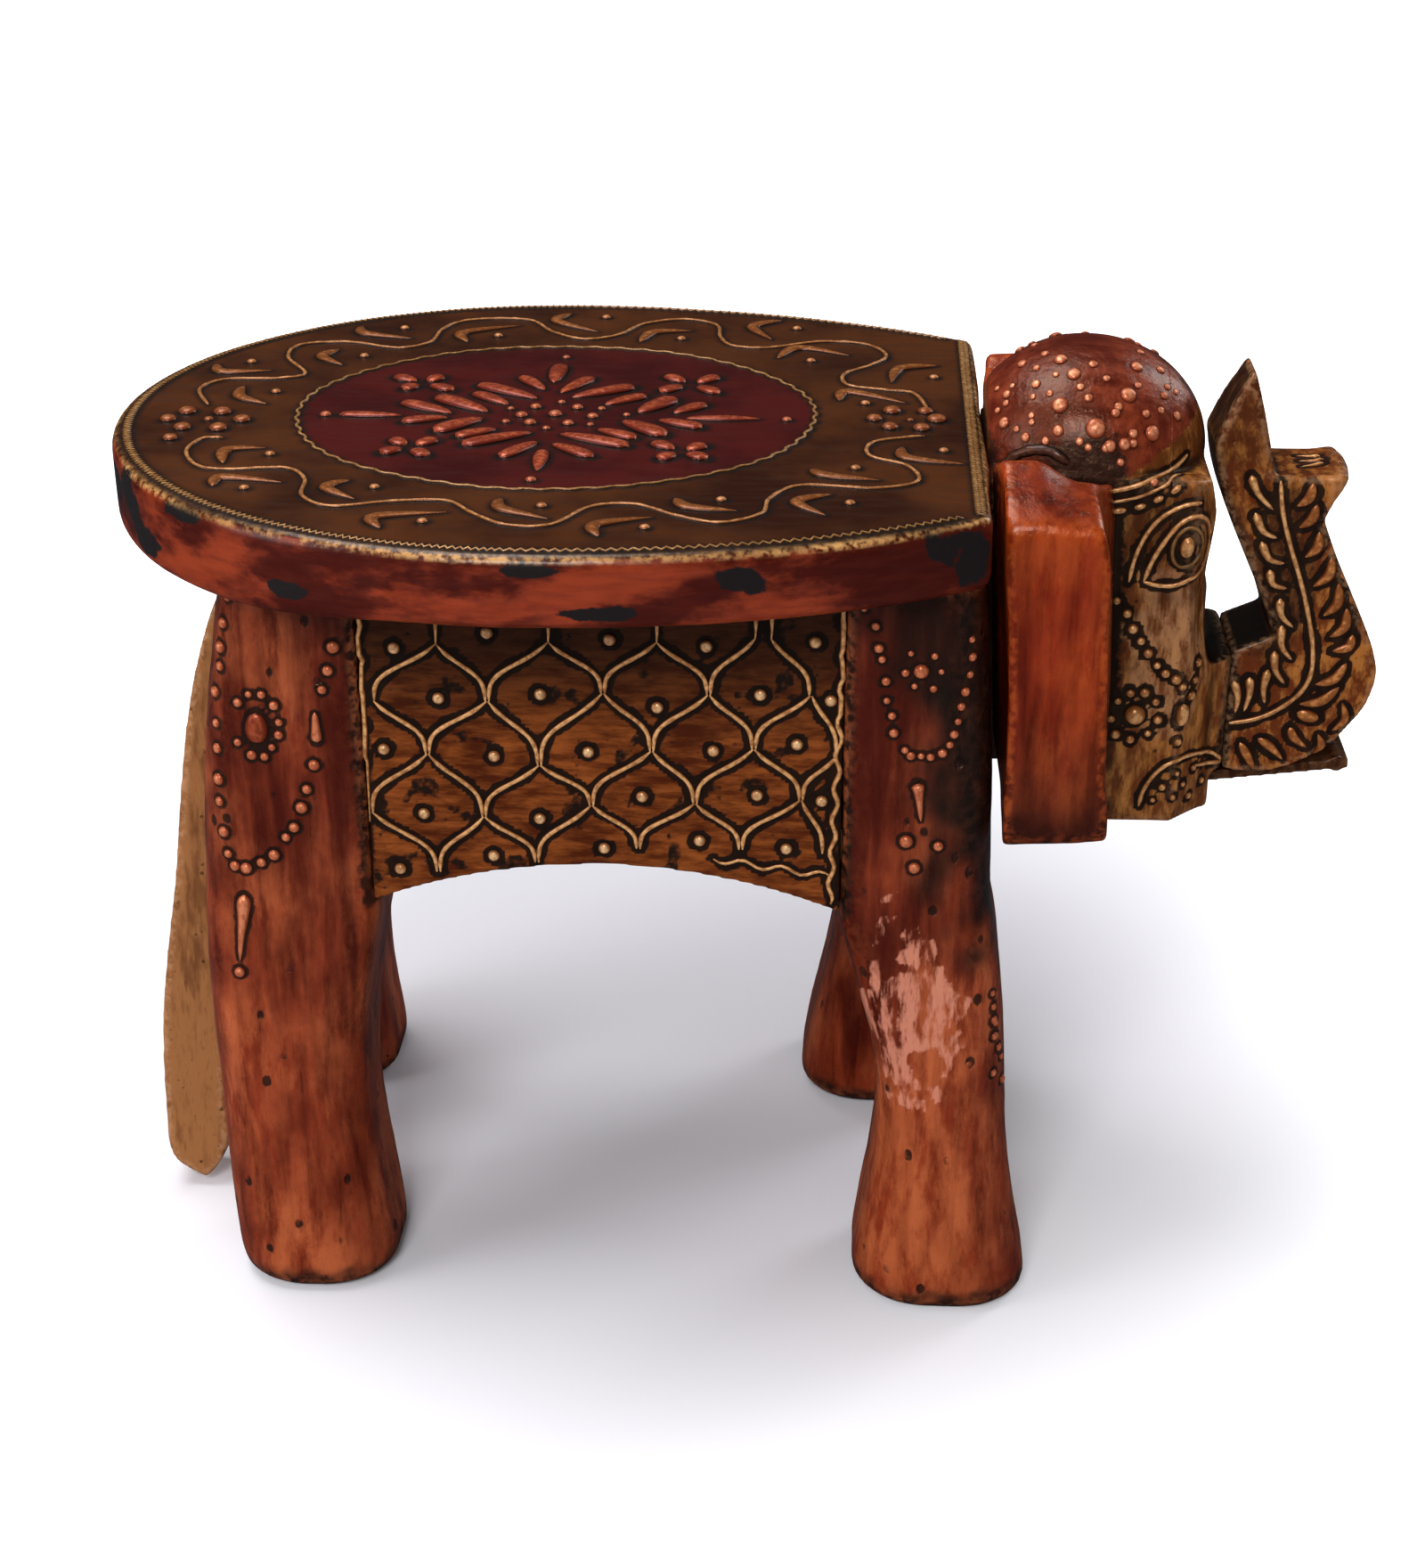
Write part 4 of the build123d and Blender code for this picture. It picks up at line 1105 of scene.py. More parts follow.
CHEEK = [(127, -32), (129.5, -35), (131, -38.6), (133, -41.5), (134.8, -44.4), (137, -47.3), (139, -49.2),
         (141.5, -50.6), (143, -52.4), (145, -54.4), (145.6, -50.6), (145.8, -46.4)]
FLOWER = [(129, -56.2), (131.6, -54.2), (134.8, -54), (137.4, -56.2), (138.2, -60.6), (136.2, -64),
          (132.4, -65.6), (129, -64.4), (127.8, -60.6)]
JAW = [
    (135.5, -82.5), (136.3, -78.5), (138.4, -74.5), (141.4, -71.6), (145, -69.6), (148.6, -68.5),
    (151.2, -68.6), (152.6, -70.6), (152.8, -73.6)]
CHIN = [(143.5, -74), (147, -72.4), (140.5, -77.5), (145, -76.6), (149, -75.4), (138.6, -80.8), (143, -80),
        (146.4, -79.4)]
# x, y, half width
DOME_DOTS = [
    (118.2, 27.5, 1.3), (124.5, 30, 1.9), (121.3, 22.5, 1.3), (127, 22.5, 1.4), (124.8, 18.8, 1.4),
    (129.5, 26.5, 1.1), (114.8, 13.5, 2.1), (121.8, 10.5, 1.5), (131.5, 9, 2.0), (136.5, 7, 1.5),
    (133.3, 20, 1.3), (117, 3, 2.2), (113, 2.5, 1.1), (124, 0.3, 1.2), (130.5, -4.2, 1.2),
    (117.8, -6, 1.3), (119, -13.5, 1.4), (110.8, -10.8, 1.2), (107, -13.3, 1.1), (127.8, -11, 2.5),
    (135.5, -11, 1.3), (112.5, -18.8, 2.5), (125, -19, 1.4), (124, -23.3, 1.4), (130.4, -23.5, 1.3),
    (106, -26, 1.1), (105.8, -30.3, 1.1), (119, -33.5, 3.1), (126.5, -36.5, 1.5), (130.5, -36, 2.4),
    (111, -35.5, 1.8), (101.5, -12, 1.5), (101, -18, 1.2), (99, -23, 1.1), (100, -31, 1.9),
    (102.4, -35, 1.1), (108.2, -4.5, 1.6), (109, 7, 1.3), (106, 10, 1.7), (111.5, 17.5, 1.4),
    (109.5, 24, 1.3), (103, -6, 1.0), (99.6, -8, 1.0), (133.8, -21, 1.2), (136.8, -24.5, 1.5),
    (136.8, -5, 1.2), (138.2, -8.5, 1.1), (115, -42, 1.3), (121, -44.5, 1.9), (126, -42.5, 1.3),
    (131.5, -43.5, 1.9), (117, -49, 1.2), (124.6, -49.5, 1.3), (129.4, -50, 1.2), (134.5, -50, 1.3),
    (108, -42, 1.3), (104, -40, 1.5)]


def head_relief(body):
    relief = Relief(body, FACE_DEPTH)
    for seed, (points, width) in enumerate(BROW_LINES, 1):
        relief.line("gold", relief.laid(points), width, seed=seed)
    for dash in BROW_DASHES:
        relief.leaf("gold", relief.laid(dash, 6), 0.8, 0.5, 0.5)
    relief.row("copper", 0.95, TEMPLE)
    for seed, (points, width) in enumerate(EYE_LINES, 3):
        relief.line("gold", relief.laid(points), width, seed=seed)
    turns = [2 * math.pi * i / 28 for i in range(28)]
    iris = [(141.3 + 3.1 * math.cos(a) + 0.6 * math.sin(a), -19.2 + 4.6 * math.sin(a)) for a in turns]
    relief.line("gold_dull", settled(body, [relief.spot(x, z) for x, z in iris]), 0.5, closed=True, seed=6)
    relief.leaf("gold", relief.laid([(141.2, -21.4), (141.3, -19.2), (141.7, -16.8)]), 1.7, 0.5, 0.45)
    relief.row("gold", 1.1, CHEEK)
    relief.leaf("gold", relief.laid([(143.6, -56.6), (143.5, -59.2), (143.3, -62)]), 1.7, 0.5, 0.45)
    relief.bead("gold", relief.spot(143, -66), 1.0)
    relief.bead("gold", relief.spot(133, -59.4), 2.5)
    relief.row("gold", 1.05, FLOWER)
    relief.line("gold", relief.laid(JAW), 0.55, seed=7)
    relief.row("gold", 0.8, CHIN)
    return relief


def dome_relief(body):
    """Dots on the cap, doubled where the other side has none near, and an arc over each ear."""
    relief = Relief(body, EAR_DEPTH)
    placed = [(seen(body, x, y, 10), size) for x, y, size in DOME_DOTS]
    for place, size in list(placed):
        twin = settled(body, mirrored([place]))[0]
        if min((twin - other).length for other, _ in placed) > 4 * MM:
            placed.append((twin, size))
    for place, size in placed:
        relief.bead("dome_dot", place, size * 0.75)
    arc = relief.laid([(99.6, -1.5), (100.2, 2.2), (102.2, 4.9), (106, 6.2), (110, 5.8), (113.5, 3.4)])
    relief.line("ink", arc, 1.2, seed=3)
    relief.line("ink", settled(body, mirrored(arc)), 1.2, seed=3)
    return relief


# --- trunk --------------------------------------------------------------------------------------
TRUNK_VINE = [
    (162.3, -8.6), (163.5, -16), (166, -24), (169, -32), (171.5, -40), (173.4, -48), (173.7, -55),
    (171.5, -60), (167, -64), (162, -66.5), (156.4, -67.6)]
COMMAS = [
    ((155.8, -7.5), (157.6, -11.5), (161.3, -15.4)), ((157.5, -16.2), (159.6, -20.4), (162.8, -22)),
    ((159.5, -23), (161.6, -27), (165, -28)), ((162, -29.6), (163, -33), (166.2, -34)),
    ((165, -36.5), (165.6, -40.5), (168.5, -43.4)), ((166, -43), (166.4, -48), (169, -51.4)),
    ((165, -49.4), (165.6, -54), (168, -57.4)), ((164, -54), (163.4, -58.6), (164, -62.4)),
    ((160, -56), (160.4, -60), (159.5, -64.6)), ((156.6, -57), (157.8, -61), (157.5, -65))]
TRUNK_LEAVES = [
    ((169.5, -9), (169, -12.4), (166.5, -14.4)), ((170.8, -14), (170, -17.4), (167.5, -19.4)),
    ((172, -20.4), (172, -24), (169.5, -26.4)), ((175.4, -26.4), (175.2, -30.6), (172, -33.4)),
    ((177.6, -32.6), (177.8, -37.4), (175, -40.4)), ((180, -38.6), (180, -43), (177, -45.6)),
    ((182, -45), (181.4, -48), (178, -49)), ((181.4, -52), (179, -56), (175, -57.4)),
    ((180.4, -58), (176.6, -61.6), (172, -62.4))]
HOOK_LEAVES = [
    ((170.4, -68.4), (171.6, -71), (174.6, -73.4)), ((163.4, -71.4), (166.4, -73.4), (169.4, -76.6)),
    ((159.4, -72.6), (161.4, -76), (163.4, -80.2))]
TIP_LEAVES = [((177, -70), (178, -73), (176, -75)), ((181.6, -62), (182.6, -66), (180, -69))]


def trunk_relief(body):
    relief = Relief(body, TRUNK_DEPTH)
    relief.line("gold", relief.laid(TRUNK_VINE), 0.62, seed=1)
    for comma in COMMAS:
        relief.drop("gold", relief.laid(comma, 4), 1.15, 0.4)
    middle = [((171.6, -64.6), (174, -65.4), (176.6, -66))]
    for leaves, width, peak, sharp in ((TRUNK_LEAVES, 1.35, 0.45, 0.8), (middle, 1.7, 0.5, 0.5),
                                       (HOOK_LEAVES, 1.2, 0.4, 0.8), (TIP_LEAVES, 1.1, 0.5, 0.8)):
        for leaf in leaves:
            relief.leaf("leaf_trunk", relief.laid(leaf), width, peak, sharp)
    return relief


def hook_relief(body):
    """Three small strokes on the flat top of the hook."""
    relief = Relief(body)
    for (x, y), (u, w) in (((168, -3.4), (173, -2.2)), ((168, 0.4), (173.4, 0)), ((168, 4), (173, 2.4))):
        spots = [(u + (x - u) * t / 7, w + (y - w) * t / 7) for t in range(8)]
        down = [body.surface.ray_cast(at(*spot, 15), Vector((0, 0, -1)))[0] or at(*spot, -8)
                for spot in spots]
        relief.drop("gold", down, 0.8)
    return relief


# --- putting it together ------------------------------------------------------------------------
def smoothed(mesh):
    mesh.polygons.foreach_set("use_smooth", [True] * len(mesh.polygons))


def dressed(mesh, material, nodes):
    """The finished piece: shaded, given its material, riding on the stool in place of its CAD nodes."""
    for name in ("soot", "rub", "dip", "wear", "shade", "medallion"):
        if name not in mesh.attributes:
            mesh.attributes.new(name, "FLOAT", "POINT")
    mesh.materials.clear()
    mesh.materials.append(material)
    smoothed(mesh)
    obj = show(mesh.name, mesh)
    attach(obj, "root")
    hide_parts(*nodes)


def weathered(body, rub=1.0, dip=1.0):
    """Wear on the arrises and dirt in the hollows."""
    out, into = edge_values(body)
    body.paint("rub", out * rub)
    body.paint("dip", into * dip)


def relief_parts(name, relief):
    """A mesh for each finish of a relief, lines first."""
    target = show(name + "_under", relief.body.mesh)
    parts = []
    for kind, makes, drawn in (("piping", stroke_curves, relief.strokes),
                               ("beads", bead_points, relief.beads)):
        for key, marks in drawn.items():
            material, height = finishes[key]
            settings = {"Body": target, "Height": height, "Finish": material}
            parts.append((material, grown(name, makes(marks), trees[kind], settings)))
    remove(target)
    return parts


def raised(name, relief):
    """The relief of one body as one piece."""
    joined = bmesh.new()
    materials = []
    for material, part in relief_parts(name, relief):
        start = len(joined.faces)
        joined.from_mesh(part)
        joined.faces.ensure_lookup_table()
        if material not in materials:
            materials.append(material)
        for face in joined.faces[start:]:
            face.material_index = materials.index(material)
    bmesh.ops.recalc_face_normals(joined, faces=joined.faces)
    mesh = finished_mesh(joined, name)
    for material in materials:
        mesh.materials.append(material)
    smoothed(mesh)
    obj = show(name, mesh)
    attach(obj, "root")


def half(mesh, name, keep_front):
    """The part of a closed mesh before or behind the upright seam of the head, closed again."""
    work = bmesh.new()
    work.from_mesh(mesh)
    cut = bmesh.ops.bisect_plane(work, geom=work.verts[:] + work.edges[:] + work.faces[:], dist=1e-7,
                                 plane_co=at(FACE_SEAM, 0, 0), plane_no=(1, 0, 0),
                                 clear_inner=keep_front, clear_outer=not keep_front)
    edges = [e for e in cut["geom_cut"] if isinstance(e, bmesh.types.BMEdge)]
    bmesh.ops.holes_fill(work, edges=edges)
    bmesh.ops.recalc_face_normals(work, faces=work.faces)
    return finished_mesh(work, name)


trees = {"piping": piping_tree(), "beads": bead_tree()}

# legs: painted shade, with some grime, darkening up towards the seat
copper = lacquer("copper_lacquer", (0.50, 0.120, 0.036), (0.055, 0.0035, 0.0009), (0.25, 0.029, 0.0055),
                 seed=10, low_lit=(0.055, -0.09))
# ears: a painted highlight over the upper part
ear_copper = lacquer("ear_lacquer", (0.41, 0.068, 0.009), (0.060, 0.0028, 0.0003), (0.25, 0.018, 0.0013),
                     seed=50, nicks=0.5, low_lit=(-1.2, 0.04), coat=0.25)
dome_copper = lacquer("dome_lacquer", (0.26, 0.045, 0.016), (0.040, 0.004, 0.002), (0.110, 0.013, 0.005),
                      seed=60, stretch=(0.12, 1, 1), nicks=0.2, coat=0.1)
# panels: painted shade darkening the top band under the seat
panel_gold = antique("panel_gold", (0.27, 0.066, 0.010), (0.065, 0.010, 0.0016), seed=20,
                     gold_share=(0.38, 0.64), under_seat_shade=0.85)
face_gold = antique("face_gold", (0.42, 0.165, 0.036), (0.13, 0.034, 0.007), seed=30,
                    gold_share=(0.44, 0.62), stretch=(1, 1, 0.3))
trunk_gold = antique("trunk_gold", (0.41, 0.145, 0.028), (0.13, 0.026, 0.005), seed=35,
                     gold_share=(0.46, 0.62), stretch=(1, 1, 0.5))
tail_gold = antique("tail_gold", (0.33, 0.135, 0.045), (0.17, 0.060, 0.020), seed=40,
                    gold_share=(0.34, 0.56), stretch=(1, 1, 0.2))

WORN = (0.35, 0.6)
# name, bright top, side, seed, where scuffs set in, and how proud it stands
PIPINGS = {
    "gold": ("gold_piping", (0.78, 0.42, 0.17), (0.24, 0.075, 0.018), 70, WORN, 0.85),
    "gold_dot": ("gold_dot_piping", (0.82, 0.52, 0.26), (0.30, 0.11, 0.035), 84, WORN, 0.75),
    "gold_dull": ("dull_piping", (0.30, 0.15, 0.05), (0.10, 0.04, 0.012), 71, WORN, 0.7),
    "rope": ("rope_piping", (0.46, 0.26, 0.10), (0.16, 0.065, 0.02), 72, (0.42, 0.66), 0.8),
    "leaf": ("leaf_piping", (0.40, 0.15, 0.045), (0.12, 0.032, 0.008), 73, (0.45, 0.7), 0.42),
    "leaf_trunk": ("trunk_leaf_piping", (0.66, 0.26, 0.075), (0.15, 0.035, 0.007), 74, (0.4, 0.7), 0.5),
    "dot": ("dot_piping", (0.56, 0.26, 0.11), (0.24, 0.08, 0.025), 75, WORN, 0.6),
    "ink": ("ink_piping", (0.10, 0.035, 0.02), (0.010, 0.006, 0.005), 83, WORN, 0.8),
    "vine": ("vine_piping", (0.52, 0.24, 0.09), (0.17, 0.055, 0.015), 81, (0.38, 0.64), 0.8),
    "berry": ("berry_piping", (0.46, 0.17, 0.06), (0.15, 0.035, 0.010), 82, (0.4, 0.66), 0.55),
    "petal": ("petal_piping", (0.44, 0.095, 0.038), (0.13, 0.016, 0.008), 76, (0.4, 0.68), 0.42),
    "petal_dot": ("petal_dot_piping", (0.52, 0.17, 0.075), (0.24, 0.05, 0.02), 77, WORN, 0.6),
    "copper": ("copper_piping", (0.66, 0.22, 0.10), (0.34, 0.07, 0.025), 78, WORN, 0.75),
    "copper_flat": ("copper_flat_piping", (0.36, 0.075, 0.028), (0.16, 0.022, 0.008), 79, WORN, 0.4),
    "dome_dot": ("dome_dot_piping", (0.74, 0.30, 0.15), (0.30, 0.055, 0.02), 80, WORN, 0.5)}
finishes = {key: (piping(*paint), height) for key, (*paint, height) in PIPINGS.items()}

# black patches of the seat's edge, the two at x 84 and 93 by the front corner being the ear's painted shadow:
# x, y, z, half length, half height
EDGE_PATCHES = [(44.6, -78.8, -6, 9, 4.5), (51, -74, -8, 6, 4), (64, -66.5, -5, 6, 4), (84, -62, -5, 9, 7),
                (93, -60, -8, 7, 9), (20, -85, -12, 11, 2.0), (5.6, -87, -3, 8, 2.0), (-88, -42, -6, 9, 9),
                (-82, -50, -13, 10, 5), (-70, -62, -2, 9, 3), (-46, -77, -12, 9, 2.5), (-93, -25, -8, 11, 7),
                (-60, 70, -9, 12, 6), (10, 87, -6, 14, 5), (60, 76, -10, 12, 6), (-96, 10, -10, 12, 6)]


def build_seat():
    body = carved("seat_plank_painted", ["seat_plank"], 0.95, 2, 0.10, 1, shape_seat)
    relief = seat_relief(body)
    p = body.local()
    away = np.sqrt(((p[:, 0] - MEDALLION_X) / MEDALLION_LONG) ** 2 + (p[:, 1] / MEDALLION_WIDE) ** 2)
    body.paint("medallion", 1 - ramp(away, 0.992, 1.006))
    # the dark wash round the relief, set off to one side so it lies heavier there as the relief's painted
    # shadow
    body.paint("soot", soot_from(body, relief.marks(), 1.5, (0.25, -0.45, 0)))
    weathered(body)
    arris = 1 - ramp(np.abs(body.no[:, 2] - 0.66), 0.08, 0.34)
    body.paint("rub", arris * ramp(p[:, 2], -3, -0.8))
    # black patches on the edge, with the ear's painted shadow by the front corner
    patches = np.zeros(len(p))
    ragged = body.wave(6, 31, 5) * 0.35
    for x, y, z, long, tall in EDGE_PATCHES:
        away = np.sqrt((((p - np.array((x, y, z))) / np.array((long, long, tall))) ** 2).sum(1))
        patches = np.maximum(patches, 1 - ramp(away + ragged, 0.4, 1.0))
    body.paint("patches", patches)
    dressed(body.mesh, seat_paint(), ["seat_plank"])
    raised("seat_relief", relief)


def build_panels():
    relief = None
    for side in SIDES:
        name = f"side_rail_{side}"
        body = carved(name + "_carved", [name], 0.8, 2, 0.18, 3)
        relief = panel_relief(body) if side == "right" else relief.to_other_side(body)
        foot = ramp(soot_from(body, relief.marks(), 2.5) + 0.32 * body.wave(5, 15, 4), 0.28, 0.78)
        # painted shade along the top under the seat, with mottled dark patches, and painted shade where legs
        # and seat come close
        band = ramp(body.local()[:, 2], -30, -19)
        under = np.maximum(band, ramp(body.wave(8, 5, 4), 0.25, 0.6) * 0.8)
        joint_shade = beside(body, ["leg_rear_" + side, "leg_front_" + side, "seat_plank"], 3.5)
        body.paint("soot", most(foot, under * 0.75, joint_shade))
        weathered(body, 0.0)
        dressed(body.mesh, panel_gold, [name])
        raised(f"panel_relief_{side}", relief)


def leg_wear_and_shade(body, end, sign, sole):
    """Black soles and bare patches; the front legs also get painted shade, with some grime, under the head
    and ear and along the front.
    """
    if end == "rear":
        body.paint("shade", sole)
        body.paint("wear", zone(body, (-55, sign * 50, -160), (16, 30, 44), 6, 0.5) * 0.25)
        return
    y = sign * 55
    body.paint("wear", zone(body, (84, y, -120), (17, 30, 34), 8, 0.5))
    # painted shade of the head and ear on the upper front leg, with some grime
    dark = np.maximum(zone(body, (99, y, -44), (18, 30, 70), 12, 0.4),
                      zone(body, (85, y, -26), (13, 30, 22), 14, 0.5) * 0.8)
    body.paint("shade", np.maximum(sole, spread(dark, body.edges, 6)))


def build_legs():
    for end, draw, seed in (("rear", rear_leg_relief, 7), ("front", front_leg_relief, 9)):
        relief = None
        for side, sign in SIDES.items():
            name = f"leg_{end}_{side}"
            body = carved(name + "_carved", [name], 0.95, 4, 0.35, seed, shape_leg)
            relief = draw(body) if side == "right" else relief.to_other_side(body)
            # painted shade where the seat, rail and ear come close
            joint_shade = beside(body, ["seat_plank", "side_rail_" + side, "ear_" + side], 6.0)
            body.paint("soot", np.maximum(soot_from(body, relief.marks(), 1.7) * 0.9, joint_shade))
            weathered(body, 0.6, 0.6)
            sole = 1 - ramp(body.local()[:, 2] + body.wave(6, 2, 3) * 2.5, -197, -192.5)
            leg_wear_and_shade(body, end, sign, sole)
            dressed(body.mesh, copper, [name])
            raised(f"leg_relief_{end}_{side}", relief)


def build_rails():
    # neck block and chest rail near-black: stained, and a painted shade between legs and ears
    for name, material, slot in (("rump_rail", copper, "copper_lacquer"), ("chest_rail", stain_and_shade, "dark_stain"),
                                 ("neck_block", stain_and_shade, "dark_stain")):
        body = carved(name + "_carved", [name], 1.1, 2, 0.2, 11)
        weathered(body, 0.5)
        dressed(body.mesh, material, [name])


def face_shade(body, ragged):
    """Shadow on the mouth's floor, beside the ears, on the brow and under the eye."""
    p = body.local()
    floor = ramp(body.no[:, 2], 0.2, 0.6) * ramp(p[:, 0], 142, 147) * ramp(-p[:, 2], 28, 34)
    back = (1 - ramp(p[:, 0] + 6 * ragged, 121, 133)) * 0.75 * ramp(-p[:, 2], 4, 12)
    cheek = p.copy()
    cheek[:, 1] = np.abs(p[:, 1])
    brow = bulge(cheek, (136, 25, -14), (18, 20, 16), 1.0) + bulge(cheek, (139, 25, -31), (14, 20, 7), 0.6)
    return most(floor, back, ramp(brow + 0.3 * ragged, 0.2, 0.9) * 0.55)


def build_head():
    body = carved("head", ["head_block", "face_block"], 0.85, 3, 0.18, 13, shape_head)
    relief, dots = head_relief(body), dome_relief(body)
    left = relief.to_other_side(body)
    p = body.local()
    brow = -7.2 + 0.55 * np.clip(p[:, 0] - 121, 0, 30)
    ragged = body.wave(4, 15, 4)
    foot = ramp(soot_from(body, relief.marks() + left.marks(), 2.2) + 0.35 * ragged, 0.3, 0.85)
    # painted shade where the ears, seat and trunk meet the head
    joint_shade = beside(body, ["ear_right", "ear_left", "seat_plank", "trunk"], 7.0)
    body.paint("soot", most(foot, 0.5 * soot_from(body, dots.marks(), 1.3), joint_shade * 0.9))
    weathered(body, 0.3)
    cheeks = [zone(body, (141, sign * 26, -44), (13, 10, 26), 8, 0.6) for sign in SIDES.values()]
    body.paint("wear", most(*cheeks) * 0.5)
    body.paint("shade", face_shade(body, ragged))
    body.paint("cap", ramp(p[:, 2] - brow, -0.4, 0.6))
    halves = [(half(body.mesh, "head_block_carved", False), "head_block", "copper_lacquer"),
              (half(body.mesh, "face_block_carved", True), "face_block", "antique_gold")]
    for mesh, node, slot in halves:
        dressed(mesh, face_gold, [node])
        mesh.materials.append(dome_copper)
        values = Body.read(mesh.attributes["cap"].data, "value", 1)[:, 0]
        index = [int(sum(values[v] for v in f.vertices) / len(f.vertices) > 0.5) for f in mesh.polygons]
        mesh.polygons.foreach_set("material_index", index)
    raised("face_relief_right", relief)
    raised("face_relief_left", left)
    raised("dome_relief", dots)


def trunk_black_and_shade(body):
    """Black paint on the trunk's rear; painted shade in the gap to the face and on low floors; darker down
    its middle and up the blade.
    """
    p = body.local()
    rear = ramp(-body.no[:, 0], 0.5, 0.85) * 0.85
    face = np.interp(p[:, 2], [-50, -36, -10, 10, 20], [166, 160.5, 148.5, 147.5, 152])
    near_rear = 1 - ramp(p[:, 0] - face, 0.5, 4.5)
    # painted shade in the gap to the face and on the hook's floor
    behind = near_rear * ramp(-p[:, 2], -8, 6) * (1 - ramp(-p[:, 2], 44, 52)) * 0.9
    floor = ramp(body.no[:, 2], 0.2, 0.6) * ramp(-p[:, 2], 28, 34)
    inner = bulge(p * np.array([1, 0, 1]), (165, 0, -30), (13, 9, 40), 1.0)
    inner = ramp(inner + 0.35 * body.wave(5, 26, 4), 0.2, 0.8) * 0.7
    blade = ramp(p[:, 2] + 4 * body.wave(5, 27, 4), -14, 0) * 0.45
    return most(rear, behind, floor, inner, blade)


def build_trunk():
    body = carved("trunk_carved", ["trunk"], 0.6, 3, 0.15, 17, shape_trunk)
    relief = trunk_relief(body)
    left, hook = relief.to_other_side(body), hook_relief(body)
    foot = soot_from(body, relief.marks() + left.marks() + hook.marks(), 2.6)
    foot = ramp(foot + 0.35 * body.wave(4, 16, 4), 0.3, 0.85)
    # painted shade at the seam with the face block
    body.paint("soot", np.maximum(foot, beside(body, ["face_block"], 3.5)))
    body.paint("shade", trunk_black_and_shade(body))
    weathered(body, 0.45)
    dressed(body.mesh, trunk_gold, ["trunk"])
    raised("trunk_relief_right", relief)
    raised("trunk_relief_left", left)
    raised("hook_relief", hook)


def build_lip():
    lip = carved("lower_lip_carved", ["lower_lip"], 0.45, 2, 0.05, 19)
    weathered(lip, 0.12)
    # the whole lip darkened as painted shade in the mouth's gap
    lip.paint("shade", np.full(len(lip.co), 0.75))
    dressed(lip.mesh, trunk_gold, ["lower_lip"])


def build_ears():
    for side, sign in SIDES.items():
        name = f"ear_{side}"
        body = carved(name + "_carved", [name], 0.8, 4, 0.3, 21, shape_ear)
        weathered(body, 0.7, 0.6)
        height = body.local()[:, 2]
        body.paint("wear", 0.6 * zone(body, (116, sign * 56, -66), (6, 9, 10), 9, 0.8))
        # darker towards the bottom edge, and painted shade on the upward-facing top
        foot = (1 - ramp(height + body.wave(6, 4, 3) * 2, -77.5, -73)) * 0.8
        low = (1 - ramp(height + body.wave(12, 24, 3) * 8, -78, -40)) * 0.6
        top = ramp(body.no[:, 2] + body.wave(9, 25, 3) * 0.1, 0.55, 0.85) * 0.3
        body.paint("shade", most(foot, low, top))
        # painted shade where head, leg and seat come close
        body.paint("soot", beside(body, ["head_block", "leg_front_" + side, "seat_plank"], 5.0))
        dressed(body.mesh, ear_copper, [name])


def build_tail():
    body = carved("tail_carved", ["tail"], 0.75, 3, 0.3, 23)
    weathered(body, 0.8)
    dressed(body.mesh, tail_gold, ["tail"])


def build_dowels():
    wood = bare_wood()
    for name in ("seat_dowels", "rail_dowels", "neck_dowels", "face_dowels", "trunk_dowel", "ear_dowels",
                 "tail_dowel"):
        mesh = frame["nodes"][name].data
        mesh.materials.clear()
        mesh.materials.append(wood)


# --- floor, light and camera --------------------------------------------------------------------
ROOM, ROOM_IN_GLOSS = 0.17, 0.03        # brightness of the room, for matt and for glossy rays
SHADOW_MIDDLE = (-0.05, 0.07, 0)
SHADOW_NEAR, SHADOW_FAR = 0.10, 0.37    # between these distances the floor fades to white
LAMP_GOAL = Vector((0, 0, 0.1))


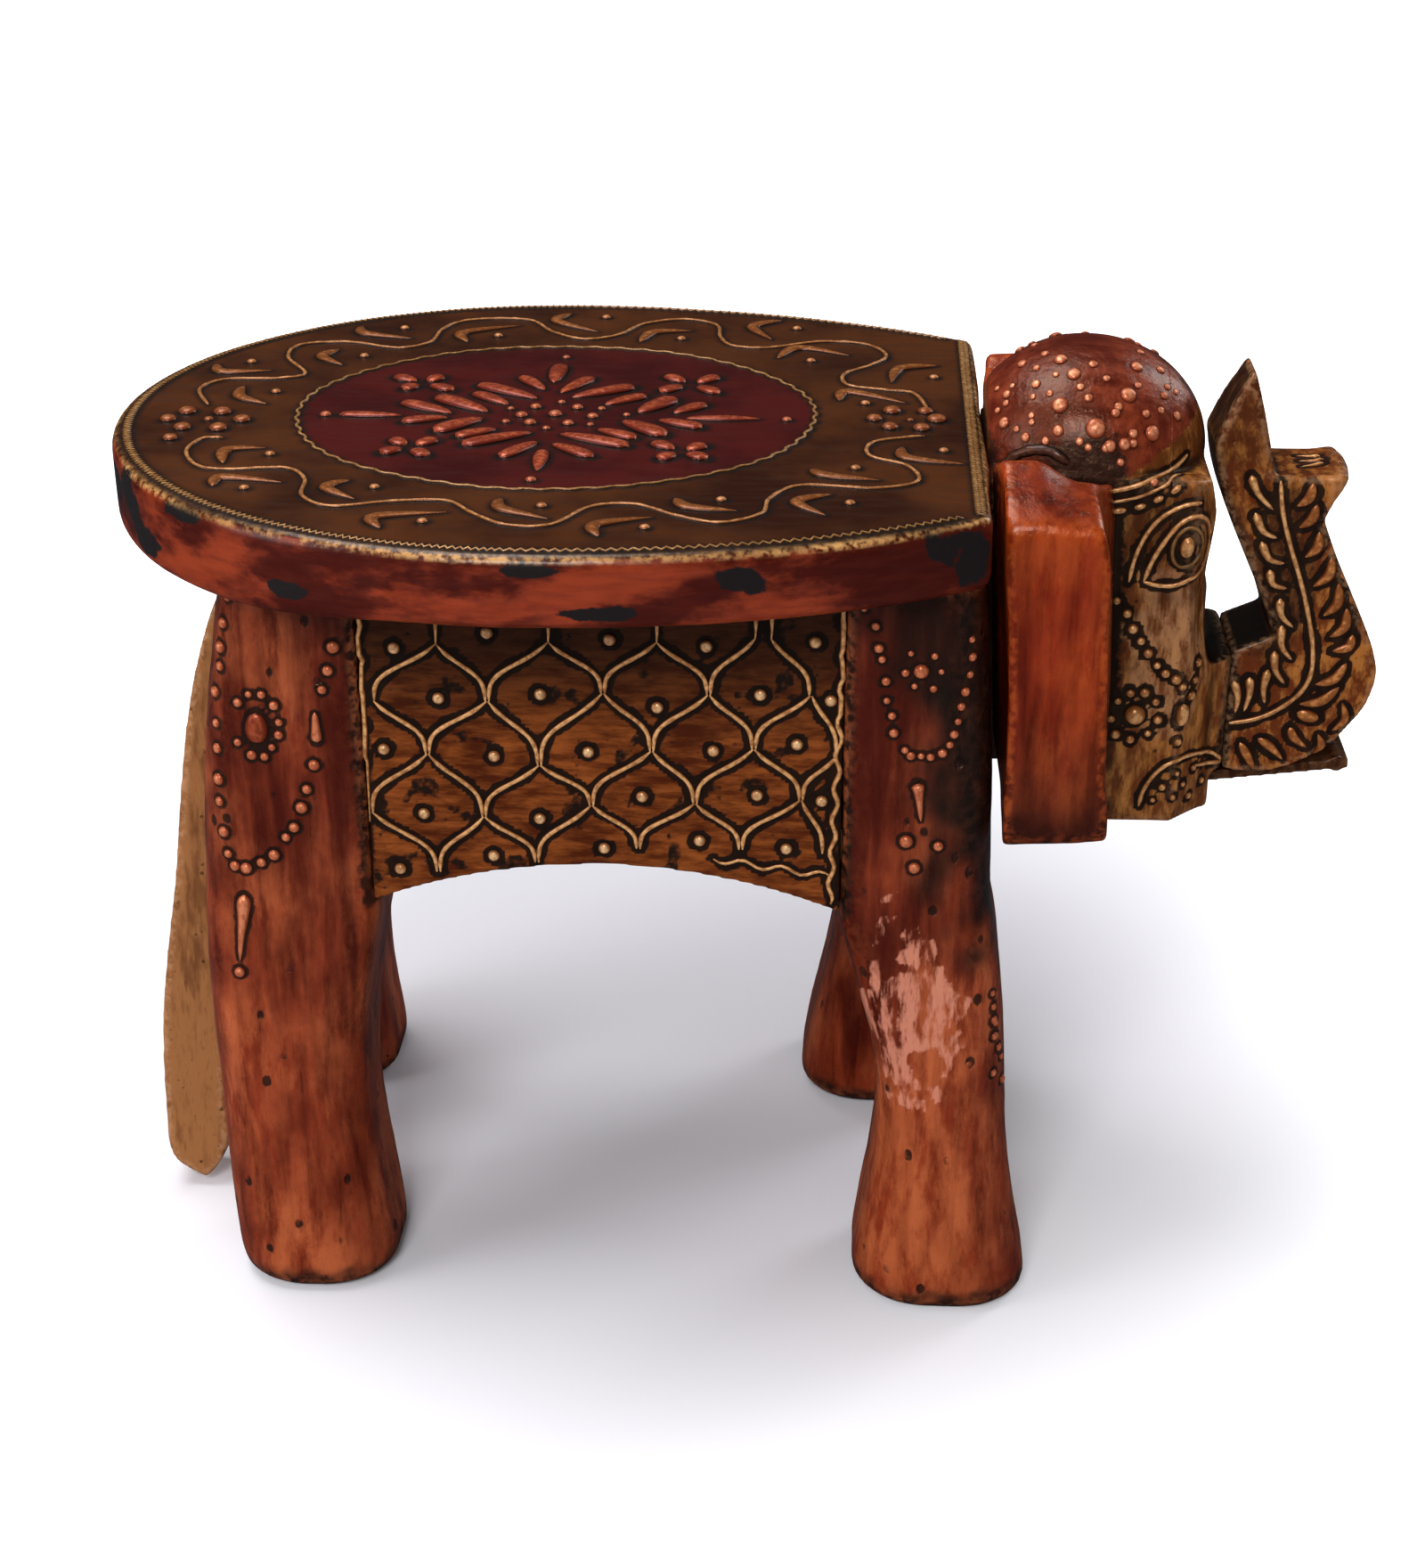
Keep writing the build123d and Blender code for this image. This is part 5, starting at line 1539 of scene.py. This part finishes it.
def backdrop():
    """A pale floor that fades to white all round for the camera and stays dark in reflections."""
    mesh = bpy.data.meshes.new("floor")
    mesh.from_pydata([(-6, -6, 0), (6, -6, 0), (6, 6, 0), (-6, 6, 0)], [], [(0, 1, 2, 3)])
    floor = show("floor", mesh)
    material = bpy.data.materials.new("pale_floor")
    material.use_nodes = True
    g = Graph(material.node_tree)
    g.tree.nodes.clear()
    ray = g.node("ShaderNodeLightPath").outputs
    place = g.node("ShaderNodeTexCoord").outputs["Object"]
    far = g.node("ShaderNodeVectorMath", {"operation": "DISTANCE"}, Vector=place, Vector_001=SHADOW_MIDDLE)
    fade = g.between(far.outputs["Value"], SHADOW_NEAR, SHADOW_FAR)
    strength = g.math("MULTIPLY", ray["Is Camera Ray"], fade)
    glow = g.node("ShaderNodeEmission", Color=(1, 1, 1), Strength=strength)
    matt = g.node("ShaderNodeBsdfDiffuse", Color=(0.76, 0.75, 0.80))
    both = g.node("ShaderNodeAddShader", Shader=matt.outputs[0], Shader_001=glow.outputs[0])
    dim = g.node("ShaderNodeBsdfDiffuse", Color=(0.04, 0.04, 0.045))
    last = g.node("ShaderNodeMixShader", Fac=ray["Is Glossy Ray"], Shader=both.outputs[0],
                  Shader_001=dim.outputs[0])
    g.node("ShaderNodeOutputMaterial", Surface=last.outputs[0])
    mesh.materials.append(material)


def room():
    """A dim room all round, dimmer in reflections and white to the camera."""
    world = bpy.data.worlds.new("room")
    bpy.context.scene.world = world
    world.use_nodes = True
    g = Graph(world.node_tree)
    g.tree.nodes.clear()
    ray = g.node("ShaderNodeLightPath").outputs
    last = g.node("ShaderNodeBackground", Color=(0.95, 0.97, 1.0), Strength=ROOM).outputs[0]
    for colour, strength, kind in (((0.9, 0.95, 1.0), ROOM_IN_GLOSS, "Is Glossy Ray"),
                                   ((1, 1, 1), 1.0, "Is Camera Ray")):
        light = g.node("ShaderNodeBackground", Color=colour, Strength=strength).outputs[0]
        last = g.node("ShaderNodeMixShader", Fac=ray[kind], Shader=last, Shader_001=light).outputs[0]
    g.node("ShaderNodeOutputWorld", Surface=last)


def lamp(name, place, size, power):
    data = bpy.data.lights.new(name, "AREA")
    data.shape = "RECTANGLE"
    data.size, data.size_y = size
    data.energy = power
    obj = show(name, data)
    obj.location = place
    obj.rotation_euler = (LAMP_GOAL - Vector(place)).to_track_quat("-Z", "Y").to_euler()


def camera():
    data = bpy.data.cameras.new("camera")
    data.lens = 58.3
    data.sensor_width = 36
    obj = show("camera", data)
    obj.location = EYE
    obj.rotation_euler = (math.radians(63.015), 0, math.radians(3.156))
    bpy.context.scene.camera = obj


stain_and_shade = dark_stain()
build_seat()
build_panels()
build_legs()
build_rails()
build_head()
build_trunk()
build_lip()
build_ears()
build_tail()
build_dowels()
backdrop()
room()
lamp("overhead", (-0.35, 0.1, 1.15), (0.8, 0.6), 11)
lamp("front", (-0.2, -1.15, 1.05), (0.5, 0.5), 13)
lamp("left", (-1.1, -0.6, 0.55), (0.5, 0.8), 5)
lamp("behind", (0.95, 0.75, 0.75), (0.4, 0.9), 5)
camera()
bpy.context.scene.view_settings.view_transform = "Standard"
